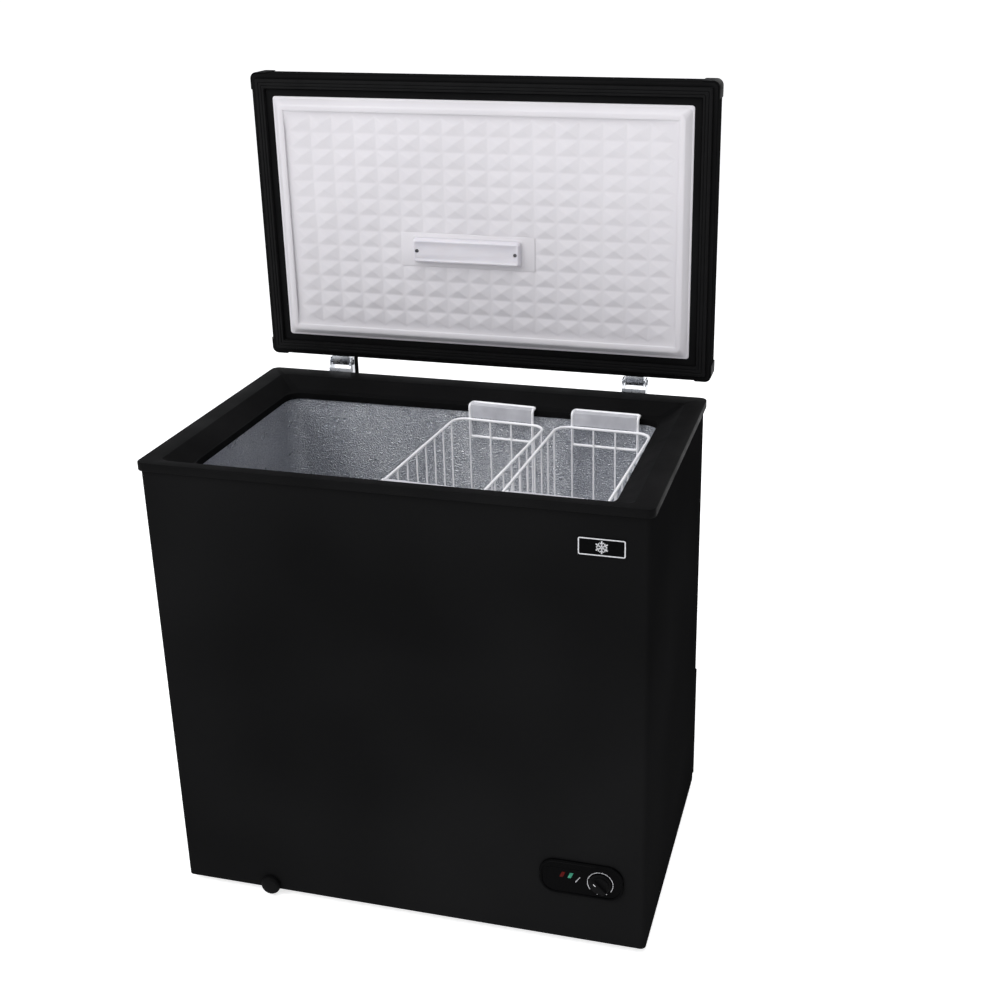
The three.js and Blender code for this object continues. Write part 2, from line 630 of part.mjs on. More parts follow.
// ---------------------------------------------------------------- hinges
// a hinge is drawn about its own pin, which lies along X through the origin
function sideProfile(points, halfWidth) {
  const shape = new THREE.Shape(points.map(([y, z]) => new THREE.Vector2(y, z)));
  const geometry = new THREE.ExtrudeGeometry(shape, { depth: 2 * halfWidth, bevelEnabled: false });
  geometry.translate(0, 0, -halfWidth);
  // plan (x, y, z) becomes (z, x, y): the outline stands in the YZ plane
  geometry.applyMatrix4(new THREE.Matrix4().set(0, 0, 1, 0, 1, 0, 0, 0, 0, 1, 0, 0, 0, 0, 0, 1));
  return toSolid(geometry);
}

function makeBracket() {
  const half = hinge.bodyWidth / 2;
  const t = hinge.plate;
  const front = -hinge.setback + 1;
  const panelY = -hinge.setback - rim.overhang + fit;
  const low = -hinge.rise - 92;
  const lipUnder = -hinge.rise - rim.lip - 4;
  const plateTop = lidPlane - fit - 0.2;
  const face = sideProfile([
    [panelY, low], [panelY + t, low], [panelY + t, lipUnder - 6], [front + t, lipUnder], [front + t, plateTop],
    [front, plateTop], [front, lipUnder + 1], [panelY, lipUnder - 5]], half);
  const cheek = [
    [front, -hinge.rise - 44], [4, -hinge.rise - 30], [9, -6], [9, 4], [5, 8.5], [-5, 8.5], [-9, 4],
    [-9.5, -5], [front, plateTop]];
  const cheeks = [-1, 1].map((side) => sideProfile(cheek, t / 2).translate(side * (half - t / 2), 0, 0));
  const bore = cylinder(hinge.pinR + fit, 0, 0, 0, hinge.bodyWidth + 4, 'x', 16);
  return join([face, ...cheeks]).subtract(bore);
}

function makeLeaf() {
  const half = hinge.leafWidth / 2;
  const t = hinge.plate;
  const rear = -hinge.setback + lid.overhang + fit;
  const low = lidPlane + 0.5;
  const face = sideProfile([
    [rear, low], [4, low], [4, low + t], [rear + t, low + t], [rear + t, 30], [rear, 30]], half);
  const cheek = [[rear + 0.5, low], [4, low], [7.5, -4], [7.5, 4], [4, 7.5], [-4, 7.5], [rear + 0.5, 12]];
  const cheeks = [-1, 1].map((side) => sideProfile(cheek, t / 2).translate(side * (half - t / 2), 0, 0));
  const bore = cylinder(hinge.pinR + fit, 0, 0, 0, hinge.bodyWidth, 'x', 16);
  return join([face, ...cheeks]).subtract(bore);
}

function makePin() {
  const half = hinge.bodyWidth / 2;
  const r = hinge.pinR;
  const profile = [
    [0, -half - 2.5], [r + 2, -half - 2.5], [r + 2, -half - fit], [r, -half - fit], [r, half + fit],
    [r + 2, half + fit], [r + 2, half + 2.5], [0, half + 2.5]];
  const points = profile.map(([a, b]) => new THREE.Vector2(a, b));
  return new THREE.LatheGeometry(points, 12).rotateZ(Math.PI / 2);
}

function makeHingeSpring() {
  const wire = 0.9;
  const meanR = hinge.pinR + fit + wire;
  const turns = 6;
  const perTurn = 7;
  const span = hinge.leafWidth - 2 * hinge.plate - 6;
  const stations = [];
  for (let i = 0; i <= turns * perTurn; i++) {
    const angle = (2 * Math.PI * i) / perTurn;
    const x = -span / 2 + (span * i) / (turns * perTurn);
    stations.push(v(x, meanR * Math.cos(angle) * 1.12, meanR * Math.sin(angle) * 1.12));
  }
  return sweep(stations, wire, 4, false);
}

const lidGroup = new THREE.Group();
lidGroup.position.set(0, hingeY, hingeZ);
lidGroup.rotation.x = -Math.PI / 2;
freezer.add(lidGroup);

for (const [side, place] of [[-1, 'left'], [1, 'right']]) {
  const x = side * hingeX;
  const fixed = new THREE.Group();
  fixed.position.set(x, hingeY, hingeZ);
  freezer.add(fixed);
  addSolid(fixed, `hinge_bracket_${place}`, zincSteel, makeBracket());
  add(fixed, `hinge_pin_${place}`, zincSteel, makePin());
  add(fixed, `hinge_spring_${place}`, zincSteel, makeHingeSpring());
  const leaf = addSolid(lidGroup, `hinge_leaf_${place}`, zincSteel, makeLeaf());
  leaf.position.x = x;
}

// ---------------------------------------------------------------- lid, drawn closed about the hinge pins
const lidHalf = halfW + lid.overhang;
const lidRear = -hinge.setback + lid.overhang;
const lidFront = -hinge.setback - cabinet.depth - lid.overhang;
const lidTop = lidPlane + lid.thickness;

function lidOutline(inset, r = Math.max(lid.cornerR - inset, 1)) {
  return roundRect(-lidHalf + inset, lidFront + inset, lidHalf - inset, lidRear - inset, r);
}

function makeLidShell() {
  const t = lid.sheet;
  const outer = prism(lidOutline(0), lidPlane + 2, lidTop);
  return outer.subtract(prism(lidOutline(t), lidPlane, lidTop - t));
}
addSolid(lidGroup, 'lid_shell', blackPaint, makeLidShell());

const frameInset = lid.sheet + fit;
function makeLidFrame() {
  const ring = prism(lidOutline(frameInset), lidPlane, lidPlane + lid.frameDepth);
  const window = prism(lidOutline(panel.inset + 8, panel.cornerR), lidPlane - 1, lidPlane + 20);
  const seat = prism(lidOutline(panel.inset - fit, panel.cornerR), lidPlane - 1, lidPlane + panel.flange + fit);
  const grooveOuter = prism(lidOutline(gasket.inset - fit, 3), lidPlane - 1, lidPlane + gasket.seat);
  const grooveInner = prism(
    lidOutline(gasket.inset + gasket.width + fit, 2), lidPlane - 2, lidPlane + gasket.seat + 1);
  return cutAll(ring, [window, seat, grooveOuter.subtract(grooveInner)]);
}
addSolid(lidGroup, 'lid_frame', blackPlastic, makeLidFrame());

function makeGasket() {
  const z0 = -hinge.rise + fit;
  const z1 = lidPlane + gasket.seat - fit;
  const outer = prism(lidOutline(gasket.inset, 3), z0, z1);
  const inner = prism(lidOutline(gasket.inset + gasket.width, 2), z0 - 1, z1 + 1);
  const crease0 = prism(lidOutline(gasket.inset + 6, 3), z0 - 1, z0 + 2);
  const crease1 = prism(lidOutline(gasket.inset + 8.5, 2), z0 - 2, z0 + 3);
  return outer.subtract(inner).subtract(crease0.subtract(crease1));
}
addSolid(lidGroup, 'lid_gasket', rubber, makeGasket());

// the white inner panel: a flange, a bank, a border and a field of four-sided pyramids
const plateau = lidPlane - panel.proud;
const fieldInset = panel.inset + panel.bank + panel.border + pyramids.border;
const field = {
  x0: -lidHalf + fieldInset, x1: lidHalf - fieldInset,
  y0: lidFront + fieldInset, y1: lidRear - fieldInset,
};
const cell = {
  x: (field.x1 - field.x0) / pyramids.columns,
  y: (field.y1 - field.y0) / pyramids.rows,
};
const lampField = {
  x0: field.x0 + lamp.firstColumn * cell.x,
  x1: field.x0 + (lamp.firstColumn + lamp.columns) * cell.x,
  y0: field.y1 - (lamp.firstRow + lamp.rows) * cell.y,
  y1: field.y1 - lamp.firstRow * cell.y,
};

function inLampField(x, y) {
  return x > lampField.x0 && x < lampField.x1 && y > lampField.y0 && y < lampField.y1;
}

// one closed slab whose lower face is the field of pyramids
function makeField(floorZ) {
  const { columns, rows } = pyramids;
  const positions = [];
  const index = [];
  const across = columns + 1;
  for (let j = 0; j <= rows; j++) {
    for (let i = 0; i < across; i++) positions.push(field.x0 + i * cell.x, field.y0 + j * cell.y, floorZ);
  }
  const backStart = across * (rows + 1);
  for (let j = 0; j <= rows; j++) {
    for (let i = 0; i < across; i++) positions.push(field.x0 + i * cell.x, field.y0 + j * cell.y, floorZ + 1);
  }
  for (let j = 0; j < rows; j++) {
    for (let i = 0; i < columns; i++) {
      const corners = [j * across + i, (j + 1) * across + i, (j + 1) * across + i + 1, j * across + i + 1];
      const [a, b, c, d] = corners;
      index.push(backStart + a, backStart + d, backStart + c, backStart + a, backStart + c, backStart + b);
      const x = field.x0 + (i + 0.5) * cell.x;
      const y = field.y0 + (j + 0.5) * cell.y;
      const flat = inLampField(x, y);
      const apex = positions.length / 3;
      positions.push(x, y, flat ? floorZ : plateau);
      index.push(a, b, apex, b, c, apex, c, d, apex, d, a, apex);
    }
  }
  const edge = [];
  for (let i = 0; i < columns; i++) edge.push([i, i + 1]);
  for (let j = 0; j < rows; j++) edge.push([j * across + columns, (j + 1) * across + columns]);
  for (let i = columns; i > 0; i--) edge.push([rows * across + i, rows * across + i - 1]);
  for (let j = rows; j > 0; j--) edge.push([j * across, (j - 1) * across]);
  for (const [a, b] of edge) index.push(a, b, backStart + b, a, backStart + b, backStart + a);
  const geometry = new THREE.BufferGeometry();
  geometry.setAttribute('position', new THREE.Float32BufferAttribute(positions, 3));
  geometry.setIndex(index);
  return toSolid(geometry);
}

function makeLidPanel() {
  const wallT = 1.6;
  const floorZ = plateau + pyramids.height;
  const bankTop = lidOutline(panel.inset + panel.bank, panel.cornerR + panel.bank / 2);
  const bankFoot = lidOutline(panel.inset + 3, panel.cornerR);
  const rimPlate = prism(lidOutline(panel.inset, panel.cornerR), lidPlane, lidPlane + panel.flange);
  const bank = loft(bankTop, plateau, bankFoot, lidPlane + 0.01);
  const hollowTop = lidOutline(panel.inset + panel.bank + wallT, panel.cornerR + panel.bank / 2 - wallT);
  const hollowFoot = lidOutline(panel.inset + 3 + wallT, panel.cornerR);
  const hollow = loft(hollowTop, floorZ + wallT, hollowFoot, lidPlane + panel.flange + 1);
  const well = prism(
    roundRect(field.x0 - pyramids.border, field.y0 - pyramids.border,
      field.x1 + pyramids.border, field.y1 + pyramids.border, 2), plateau - 1, floorZ, 2);
  return rimPlate.add(bank).subtract(hollow).subtract(well).add(makeField(floorZ));
}
addSolid(lidGroup, 'lid_inner_panel', whitePlastic, makeLidPanel());

function makeLidFoam() {
  const t = lid.sheet + fit;
  const z0 = lidPlane + lid.frameDepth + fit;
  const slab = prism(lidOutline(t), z0, lidTop - t);
  const pad = prism(lidOutline(panel.inset + 8 + fit, panel.cornerR), lidPlane + panel.flange + fit, z0 + 1);
  const hollowDepth = plateau + pyramids.height + 1.6 + fit;
  const boss = loft(
    lidOutline(panel.inset + panel.bank + 4, panel.cornerR), hollowDepth,
    lidOutline(panel.inset + 10, panel.cornerR), lidPlane + panel.flange + fit + 0.01);
  return join([slab, pad, boss]);
}
addSolid(lidGroup, 'lid_foam', foamYellow, makeLidFoam());

const lampMid = { x: (lampField.x0 + lampField.x1) / 2, y: (lampField.y0 + lampField.y1) / 2 };
const lampFloor = plateau + pyramids.height - fit;
const lampBase = { x: lamp.width / 2 + 3, y: lamp.height / 2 + 3, thick: 2.5 };
addSolid(lidGroup, 'lamp_base', whitePlastic, prism(
  roundRect(lampMid.x - lampBase.x, lampMid.y - lampBase.y, lampMid.x + lampBase.x, lampMid.y + lampBase.y, 4),
  lampFloor - lampBase.thick, lampFloor, 3));

function makeLens() {
  const { x, y } = lampMid;
  const z1 = lampFloor - lampBase.thick - fit;
  const wide = roundRect(x - lamp.width / 2, y - lamp.height / 2, x + lamp.width / 2, y + lamp.height / 2, 5);
  const inX = lamp.width / 2 - 3;
  const inY = lamp.height / 2 - 3;
  const narrow = roundRect(x - inX, y - inY, x + inX, y + inY, 5);
  const lens = loft(narrow, z1 - lamp.lens, wide, z1, 3);
  const inside = box(x - inX + 12, x + inX - 12, y - inY + 3, y + inY - 3, z1 - lamp.lens + 2.5, z1 + 1);
  const sinks = [-1, 1].map((side) => cylinder(3.6, x + side * (lamp.width / 2 - 9), y, z1 - lamp.lens, 5, 'z', 12));
  return cutAll(lens, [inside, ...sinks]);
}
addSolid(lidGroup, 'lamp_lens', frostedLens, makeLens());

function makeScrew() {
  const profile = [[0, -2], [2.2, -2], [3.1, -1.2], [3.1, 0], [0, 0]];
  const points = profile.map(([a, b]) => new THREE.Vector2(a, b));
  return new THREE.LatheGeometry(points, 12).rotateX(Math.PI / 2);
}
[-1, 1].forEach((side, i) => {
  const mesh = add(lidGroup, `lamp_screw_${i + 1}`, zincSteel, makeScrew());
  const z = lampFloor - lampBase.thick - fit - lamp.lens + 2.5 - fit;
  mesh.position.set(lampMid.x + side * (lamp.width / 2 - 9), lampMid.y, z);
});

// plastic caps wrap the lid's four corners
function makeCap(sx, sy) {
  const p = cap.proud;
  const outer = roundRect(-lidHalf - p, lidFront - p, lidHalf + p, lidRear + p, lid.cornerR + p);
  const shell = prism(outer, lidPlane + 1, lidTop - 1).subtract(prism(lidOutline(-fit, lid.cornerR + fit), -99, 99));
  const cx = sx * (lidHalf + p);
  const cy = sy < 0 ? lidFront - p : lidRear + p;
  const keep = box(
    Math.min(cx, cx - sx * cap.size), Math.max(cx, cx - sx * cap.size),
    Math.min(cy, cy - sy * cap.size), Math.max(cy, cy - sy * cap.size), -99, 99);
  return shell.intersect(keep);
}
const capNames = { front_left: [-1, -1], front_right: [1, -1], rear_left: [-1, 1], rear_right: [1, 1] };
for (const [name, [sx, sy]] of Object.entries(capNames)) {
  addSolid(lidGroup, `lid_cap_${name}`, blackPlastic, makeCap(sx, sy));
}

// ---------------------------------------------------------------- lamp lead across the left hinge
function makeLead() {
  const y0 = wrapBack + 3.3 + fit;
  const z0 = rimTop - lead.drop;
  const top = hingeZ + hinge.setback - lid.overhang - fit;
  const path = new BentPath([v(leadX, y0, z0), v(leadX, hingeY, z0), v(leadX, hingeY, top)], lead.bend);
  const section = new THREE.Shape();
  for (let i = 0; i < lead.sides; i++) {
    const angle = (2 * Math.PI * i) / lead.sides;
    const corner = [lead.radius * Math.cos(angle), lead.radius * Math.sin(angle)];
    if (i === 0) section.moveTo(...corner);
    else section.lineTo(...corner);
  }
  return new THREE.ExtrudeGeometry(section, { steps: lead.steps, extrudePath: path, bevelEnabled: false });
}
add(freezer, 'lamp_lead', rubber, makeLead());

const grommet = add(freezer, 'lead_grommet', rubber, new THREE.LatheGeometry(
  [[0, 0], [lead.radius + 2.4, 0], [lead.radius + 2.4, 3], [0, 3]].map(([a, b]) => new THREE.Vector2(a, b)), 16));
grommet.position.set(leadX, wrapBack + fit, rimTop - lead.drop);

// ---------------------------------------------------------------- baskets
// a basket is drawn about the middle of its back end, at the height of its top ring
const ringZ = rimTop - basket.ringDrop;
const basketBack = cabinet.depth - opening.back - basket.end;
const basketLength = basketBack - opening.front - basket.end;
const ledgeZ = rimTop - slope.depth;
const loopReach = basket.end + loop.onLedge;
const loopOut = (basket.wire + basket.rod) * 0.8; // the loops sink a little into the ring
const barZ = ledgeZ - ringZ + basket.wire + fit;
const basketStart = halfW - opening.side - basketClear - 2 * basket.width - basketGap;

function wireRing(x0, y0, x1, y1, z, r, radius) {
  const points = roundRect(x0, y0, x1, y1, r).getPoints(3).slice(0, -1);
  return toSolid(sweep(points.map((p) => v(p.x, p.y, z)), radius, 6, true));
}

function bentWire(points, bendR, radius, sides) {
  return toSolid(sweep(new BentPath(points, bendR).stations(2), radius, sides, false));
}

function makeBasket() {
  const w = basket.width / 2 - basket.wire;
  const y1 = -basket.wire;
  const y0 = -basketLength + basket.wire;
  const floor = -basket.depth + basket.rod;
  const pieces = [wireRing(-w, y0, w, y1, 0, basket.cornerR, basket.wire)];
  const crossPitch = (y1 - y0 - 2 * basket.cornerR) / (basket.crossWires - 1);
  for (let i = 0; i < basket.crossWires; i++) {
    const y = y0 + basket.cornerR + i * crossPitch;
    pieces.push(bentWire([v(-w, y, 0), v(-w, y, floor), v(w, y, floor), v(w, y, 0)], basket.bend, basket.rod, 4));
  }
  const longPitch = loop.width / (basket.longWires - 1);
  for (let i = 0; i < basket.longWires; i++) {
    const x = -loop.width / 2 + i * longPitch;
    const z = floor - basket.rod * 0.8;
    pieces.push(bentWire([v(x, y0, 0), v(x, y0, z), v(x, y1, z), v(x, y1, 0)], basket.bend, basket.rod, 4));
  }
  // each end has a closed loop whose upper bar lies out on the collar's ledge
  for (const [end, out] of [[y1, 1], [y0, -1]]) {
    const half = loop.width / 2;
    const low = ringZ - rimTop + loop.drop;
    const y = end + out * loopOut;
    const far = end + out * loopReach;
    const side = (x) => bentWire([v(x, y, -low), v(x, y, barZ), v(x, far, barZ)], loop.bend, basket.wire, 6);
    pieces.push(side(-half), side(half));
    const bar = (yy, z) => toSolid(sweep([v(-half, yy, z), v(half, yy, z)], basket.wire, 6, false));
    pieces.push(bar(y, -low), bar(far, barZ));
  }
  return join(pieces);
}

// a thin plastic plate, bent over at the top, fills each loop above the ring
function makeGrip(end, out) {
  const half = loop.width / 2 - basket.wire - fit;
  const t = grip.thick / 2;
  const y = end + out * loopOut;
  const inner = y - out * t;
  const far = end + out * (loopReach - basket.wire - fit);
  const shelf = box(-half, half, Math.min(inner, far), Math.max(inner, far), barZ - t, barZ + t);
  const face = box(-half, half, y - t, y + t, basket.wire + fit, barZ + t);
  return join([shelf, face]);
}

for (const [i, place] of ['left', 'right'].entries()) {
  const hung = new THREE.Group();
  const x = basketStart + basket.width / 2 + i * (basket.width + basketGap);
  hung.position.set(x, basketBack, ringZ);
  hung.rotation.z = (basketYaw[place] * Math.PI) / 180;
  freezer.add(hung);
  addSolid(hung, `basket_${place}`, whiteWire, makeBasket());
  addSolid(hung, `basket_${place}_grip_back`, whitePlastic, makeGrip(-basket.wire, 1));
  addSolid(hung, `basket_${place}_grip_front`, whitePlastic, makeGrip(-basketLength + basket.wire, -1));
}

export default freezer;
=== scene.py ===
# %% [markdown]
# # A chest freezer with its lid open
# The frame holds every part of the freezer at its real size and place, in metres, with +Z up and
# the front facing -Y. This lesson puts the finished surfaces around that frame. Each piece takes
# its size from the part it stands for, so nothing has to be fitted by eye.

# %% Load the frame
import json
import math

import bmesh
import bpy
from mathutils import Matrix, Vector


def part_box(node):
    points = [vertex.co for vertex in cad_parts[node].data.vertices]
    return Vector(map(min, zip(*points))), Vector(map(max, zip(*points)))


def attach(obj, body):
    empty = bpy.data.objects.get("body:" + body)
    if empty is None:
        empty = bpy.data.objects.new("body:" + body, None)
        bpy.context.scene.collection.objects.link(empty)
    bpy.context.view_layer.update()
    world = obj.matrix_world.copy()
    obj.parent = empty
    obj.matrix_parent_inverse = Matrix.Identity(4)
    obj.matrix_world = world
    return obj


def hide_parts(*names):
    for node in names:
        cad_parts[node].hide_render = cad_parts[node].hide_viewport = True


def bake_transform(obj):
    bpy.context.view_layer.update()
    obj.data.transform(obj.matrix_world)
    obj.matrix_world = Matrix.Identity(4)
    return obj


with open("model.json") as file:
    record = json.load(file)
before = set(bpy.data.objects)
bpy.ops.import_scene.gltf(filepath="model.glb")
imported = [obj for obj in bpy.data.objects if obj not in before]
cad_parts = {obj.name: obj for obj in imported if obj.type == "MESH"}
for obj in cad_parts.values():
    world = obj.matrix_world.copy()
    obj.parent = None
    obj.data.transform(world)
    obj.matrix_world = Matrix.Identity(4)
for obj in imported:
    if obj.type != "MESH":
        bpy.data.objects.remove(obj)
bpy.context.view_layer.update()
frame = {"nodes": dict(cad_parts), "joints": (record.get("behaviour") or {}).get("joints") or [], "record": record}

MM = 0.001
nodes = frame["nodes"]

# %% [markdown]
# ## Camera
# A camera stands a little to the right of the freezer and above it, so that the front, the right
# side and the open top all show. It could be aimed with a constraint at an empty, but three angles
# are easier to read and to repeat, so the camera's axes are built from them.

# %% Place the camera
AZIMUTH = math.radians(14.396)
ELEVATION = math.radians(20.509)
ROLL = math.radians(-0.509)
forward = Vector((
    -math.sin(AZIMUTH) * math.cos(ELEVATION),
    math.cos(AZIMUTH) * math.cos(ELEVATION),
    -math.sin(ELEVATION)))
level_right = forward.cross(Vector((0, 0, 1))).normalized()
level_up = level_right.cross(forward)
right = level_right * math.cos(ROLL) + level_up * math.sin(ROLL)
up = level_up * math.cos(ROLL) - level_right * math.sin(ROLL)

camera_data = bpy.data.cameras.new("camera")
camera_data.sensor_width = 36
camera_data.lens = 49.48
camera_data.shift_x = -0.0582
camera_data.shift_y = -0.0629
camera = bpy.data.objects.new("camera", camera_data)
bpy.context.scene.collection.objects.link(camera)
axes = Matrix((right, up, -forward)).transposed()
camera.matrix_world = Matrix.Translation((0.7312, -2.0572, 1.5862)) @ axes.to_4x4()
bpy.context.scene.camera = camera
print("camera at", [round(v, 3) for v in camera.location])

# %% [markdown]
# ## Studio
# The freezer stands on a plain pale floor. Black enamel shows only what it reflects, so the light
# has to be broad: a pale world that falls off to the right gives the fill, and three large soft
# boxes give the tops and the open lid their shape. Small lamps would leave hard dots on the enamel.
# The camera itself sees the world as plain white, which keeps the backdrop clean.

# %% Light the studio
bpy.context.scene.view_settings.view_transform = "Standard"
world = bpy.data.worlds.new("studio")
world.use_nodes = True
sky = world.node_tree
sky.nodes["Background"].inputs["Color"].default_value = (0.96, 0.97, 1.0, 1)
direction = sky.nodes.new("ShaderNodeTexCoord")
across = sky.nodes.new("ShaderNodeSeparateXYZ")
fall = sky.nodes.new("ShaderNodeMapRange")
for socket, value in (("From Min", -0.7), ("From Max", 0.5), ("To Min", 0.80), ("To Max", 0.16)):
    fall.inputs[socket].default_value = value
seen = sky.nodes.new("ShaderNodeLightPath")
choose = sky.nodes.new("ShaderNodeMix")
choose.inputs["B"].default_value = 1.0
sky.links.new(direction.outputs["Generated"], across.inputs["Vector"])
sky.links.new(across.outputs["X"], fall.inputs["Value"])
sky.links.new(fall.outputs["Result"], choose.inputs["A"])
sky.links.new(seen.outputs["Is Camera Ray"], choose.inputs["Factor"])
sky.links.new(choose.outputs["Result"], sky.nodes["Background"].inputs["Strength"])
bpy.context.scene.world = world


def soft_box(name, place, target, size, watts):
    """A square area light that hangs at a place and faces a target."""
    data = bpy.data.lights.new(name, "AREA")
    data.size = size
    data.energy = watts
    lamp = bpy.data.objects.new(name, data)
    lamp.location = place
    lamp.rotation_euler = (Vector(target) - Vector(place)).to_track_quat("-Z", "Y").to_euler()
    bpy.context.scene.collection.objects.link(lamp)
    return lamp


soft_box("key_box", (-2.2, -2.6, 3.4), (0, 0, 0.8), 2.2, 62)
soft_box("top_box", (0.4, -0.9, 3.6), (0, 0, 0.6), 2.0, 34)
soft_box("rear_box", (1.2, 3.2, 2.6), (0, 0, 0.7), 2.4, 40)

# %% [markdown]
# ## Bench tools
# Most of the freezer is made of rings: collars, frames, seals and sheets that run round the whole
# cabinet. Each one is a stack of level outlines with round corners. An outline starts as one face
# whose corners are bevelled. Its edges are then extruded from outline to outline, so the modeller's
# own tools do the counting of vertices.

# %% Stack outlines into a skin
CORNER_STEPS = 8


def corner_point(box, radius, side, aim):
    """A point on a round corner. side is (-1 or 1, -1 or 1) and aim points out from the arc's centre."""
    x = box[0] + radius if side[0] < 0 else box[1] - radius
    y = box[2] + radius if side[1] < 0 else box[3] - radius
    return x + aim[0] * radius, y + aim[1] * radius


def stack(bm, outlines, closed=False, capped=False, steps=CORNER_STEPS):
    """Skins a stack of level outlines with round corners. Each is ((x0, x1, y0, y1), z, radius).
    The first is a face with bevelled corners; its edge is then extruded from outline to outline."""
    (x0, x1, y0, y1), z, radius = outlines[0]
    corners = [bm.verts.new(p) for p in ((x0, y0, z), (x1, y0, z), (x1, y1, z), (x0, y1, z))]
    known = set(bm.verts) - set(corners)
    bm.faces.new(corners)
    bmesh.ops.bevel(
        bm, geom=corners, offset=radius, offset_type="OFFSET", segments=steps, profile=0.5,
        affect="VERTICES", material=-1)
    ring = [v for v in bm.verts if v not in known]
    face = ring[0].link_faces[0]
    first = edges = list(face.edges)
    places = {}
    for v in ring:
        side = (-1 if v.co.x < (x0 + x1) / 2 else 1, -1 if v.co.y < (y0 + y1) / 2 else 1)
        centre = corner_point(outlines[0][0], radius, side, (0, 0))
        places[v] = (side, ((v.co.x - centre[0]) / radius, (v.co.y - centre[1]) / radius))
    bmesh.ops.delete(bm, geom=[face], context="FACES_ONLY")
    for box, z, radius in (*outlines[1:], *(outlines[:1] if closed else ())):
        grown = bmesh.ops.extrude_edge_only(bm, edges=edges)["geom"]
        edges = [g for g in grown if isinstance(g, bmesh.types.BMEdge)]
        following = {}
        for v in (g for g in grown if isinstance(g, bmesh.types.BMVert)):
            source = next(e.other_vert(v) for e in v.link_edges if e.other_vert(v) in places)
            following[v] = places[source]
            v.co = (*corner_point(box, radius, *places[source]), z)
        places = following
    if capped:
        bmesh.ops.contextual_create(bm, geom=first)
        bmesh.ops.contextual_create(bm, geom=edges)
    tidy_normals(bm)


def tidy_normals(bm):
    bmesh.ops.remove_doubles(bm, verts=bm.verts, dist=1e-6)
    bmesh.ops.recalc_face_normals(bm, faces=bm.faces)


print("outlines have corners of", CORNER_STEPS, "steps")

# %% Soften edges and read a part's plan


def soften(bm, width, steps=3, limit=28, keep=None):
    """Rounds every edge that turns more than limit degrees, or only those that keep accepts."""
    sharp = [
        e for e in bm.edges
        if len(e.link_faces) == 2 and e.calc_face_angle(0) > math.radians(limit)
        and (keep is None or keep(e))]
    bmesh.ops.bevel(
        bm, geom=sharp, offset=width, offset_type="OFFSET", segments=steps, profile=0.5,
        affect="EDGES", clamp_overlap=True, material=-1)


def inset_box(box, side, front=None, back=None):
    """The box (x0, x1, y0, y1) drawn in by side, and by front and back where those differ."""
    front = side if front is None else front
    back = side if back is None else back
    return box[0] + side, box[1] - side, box[2] + front, box[3] - back


def plan(node):
    """A frame part's extent in plan, as (x0, x1, y0, y1), with its lowest and highest z."""
    low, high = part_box(node)
    return (low.x, high.x, low.y, high.y), low.z, high.z


def middle(low, high):
    """The point halfway between two corners of a box."""
    return (low + high) / 2


print("parts in the frame", len(nodes))

# %% Place a finished piece
SMOOTH = 32  # degrees, above which an edge stays sharp


def place(name, bm, body, slot, coat, stands_for=(), smooth=SMOOTH):
    """Turns a bmesh into a finished piece that rides on a body and stands for some parts."""
    mesh = bpy.data.meshes.new(name)
    bm.to_mesh(mesh)
    bm.free()
    mesh.shade_smooth()
    mesh.set_sharp_from_angle(angle=math.radians(smooth))
    mesh.materials.clear()
    mesh.materials.append(coat)
    piece = bpy.data.objects.new(name, mesh)
    bpy.context.scene.collection.objects.link(piece)
    if body is not None:
        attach(piece, body)
    if stands_for:
        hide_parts(*stands_for)
    return piece


print("edges are smooth up to", SMOOTH, "degrees")

# %% Cut, drill and turn


def carve(bm, cutters, operation="DIFFERENCE"):
    """Cuts closed bmeshes out of another with a Boolean modifier, and returns the result."""
    body = bpy.data.objects.new("carve_body", bpy.data.meshes.new("carve_body"))
    bm.to_mesh(body.data)
    bm.free()
    bpy.context.scene.collection.objects.link(body)
    tools = []
    for cutter in cutters:
        tool = bpy.data.objects.new("carve_tool", bpy.data.meshes.new("carve_tool"))
        cutter.to_mesh(tool.data)
        cutter.free()
        bpy.context.scene.collection.objects.link(tool)
        cut = body.modifiers.new("cut", "BOOLEAN")
        cut.operation = operation
        cut.solver = "EXACT"
        cut.object = tool
        tools.append(tool)
    graph = bpy.context.evaluated_depsgraph_get()
    result = bmesh.new()
    result.from_object(body, graph)
    for extra in (body, *tools):
        bpy.data.objects.remove(extra)
    return result


def block(x0, x1, y0, y1, z0, z1):
    """A plain closed block, the start of many small parts and cutters."""
    bm = bmesh.new()
    bmesh.ops.create_cube(bm, size=1)
    bmesh.ops.scale(bm, vec=(x1 - x0, y1 - y0, z1 - z0), verts=bm.verts)
    bmesh.ops.translate(bm, vec=((x0 + x1) / 2, (y0 + y1) / 2, (z0 + z1) / 2), verts=bm.verts)
    return bm


def drill(radius, centre, axis, length, steps=32):
    """A closed cylinder along y or z, centred on a point."""
    bm = bmesh.new()
    bmesh.ops.create_cone(
        bm, cap_ends=True, segments=steps, radius1=radius, radius2=radius, depth=length)
    if axis == "y":
        bmesh.ops.rotate(bm, matrix=Matrix.Rotation(math.pi / 2, 3, "X"), verts=bm.verts)
    bmesh.ops.translate(bm, vec=centre, verts=bm.verts)
    return bm


def turned(profile, steps=48):
    """A body of revolution about Z. profile is a list of (radius, height) from axis to axis."""
    bm = bmesh.new()
    points = [bm.verts.new((r, 0, z)) for r, z in profile]
    edges = [bm.edges.new(pair) for pair in zip(points, points[1:])]
    bmesh.ops.spin(
        bm, geom=points + edges, cent=(0, 0, 0), axis=(0, 0, 1), angle=2 * math.pi, steps=steps,
        use_merge=True)
    bmesh.ops.remove_doubles(bm, verts=bm.verts, dist=1e-6)
    bmesh.ops.dissolve_degenerate(bm, edges=bm.edges, dist=1e-6)
    bmesh.ops.recalc_face_normals(bm, faces=bm.faces)
    return bm


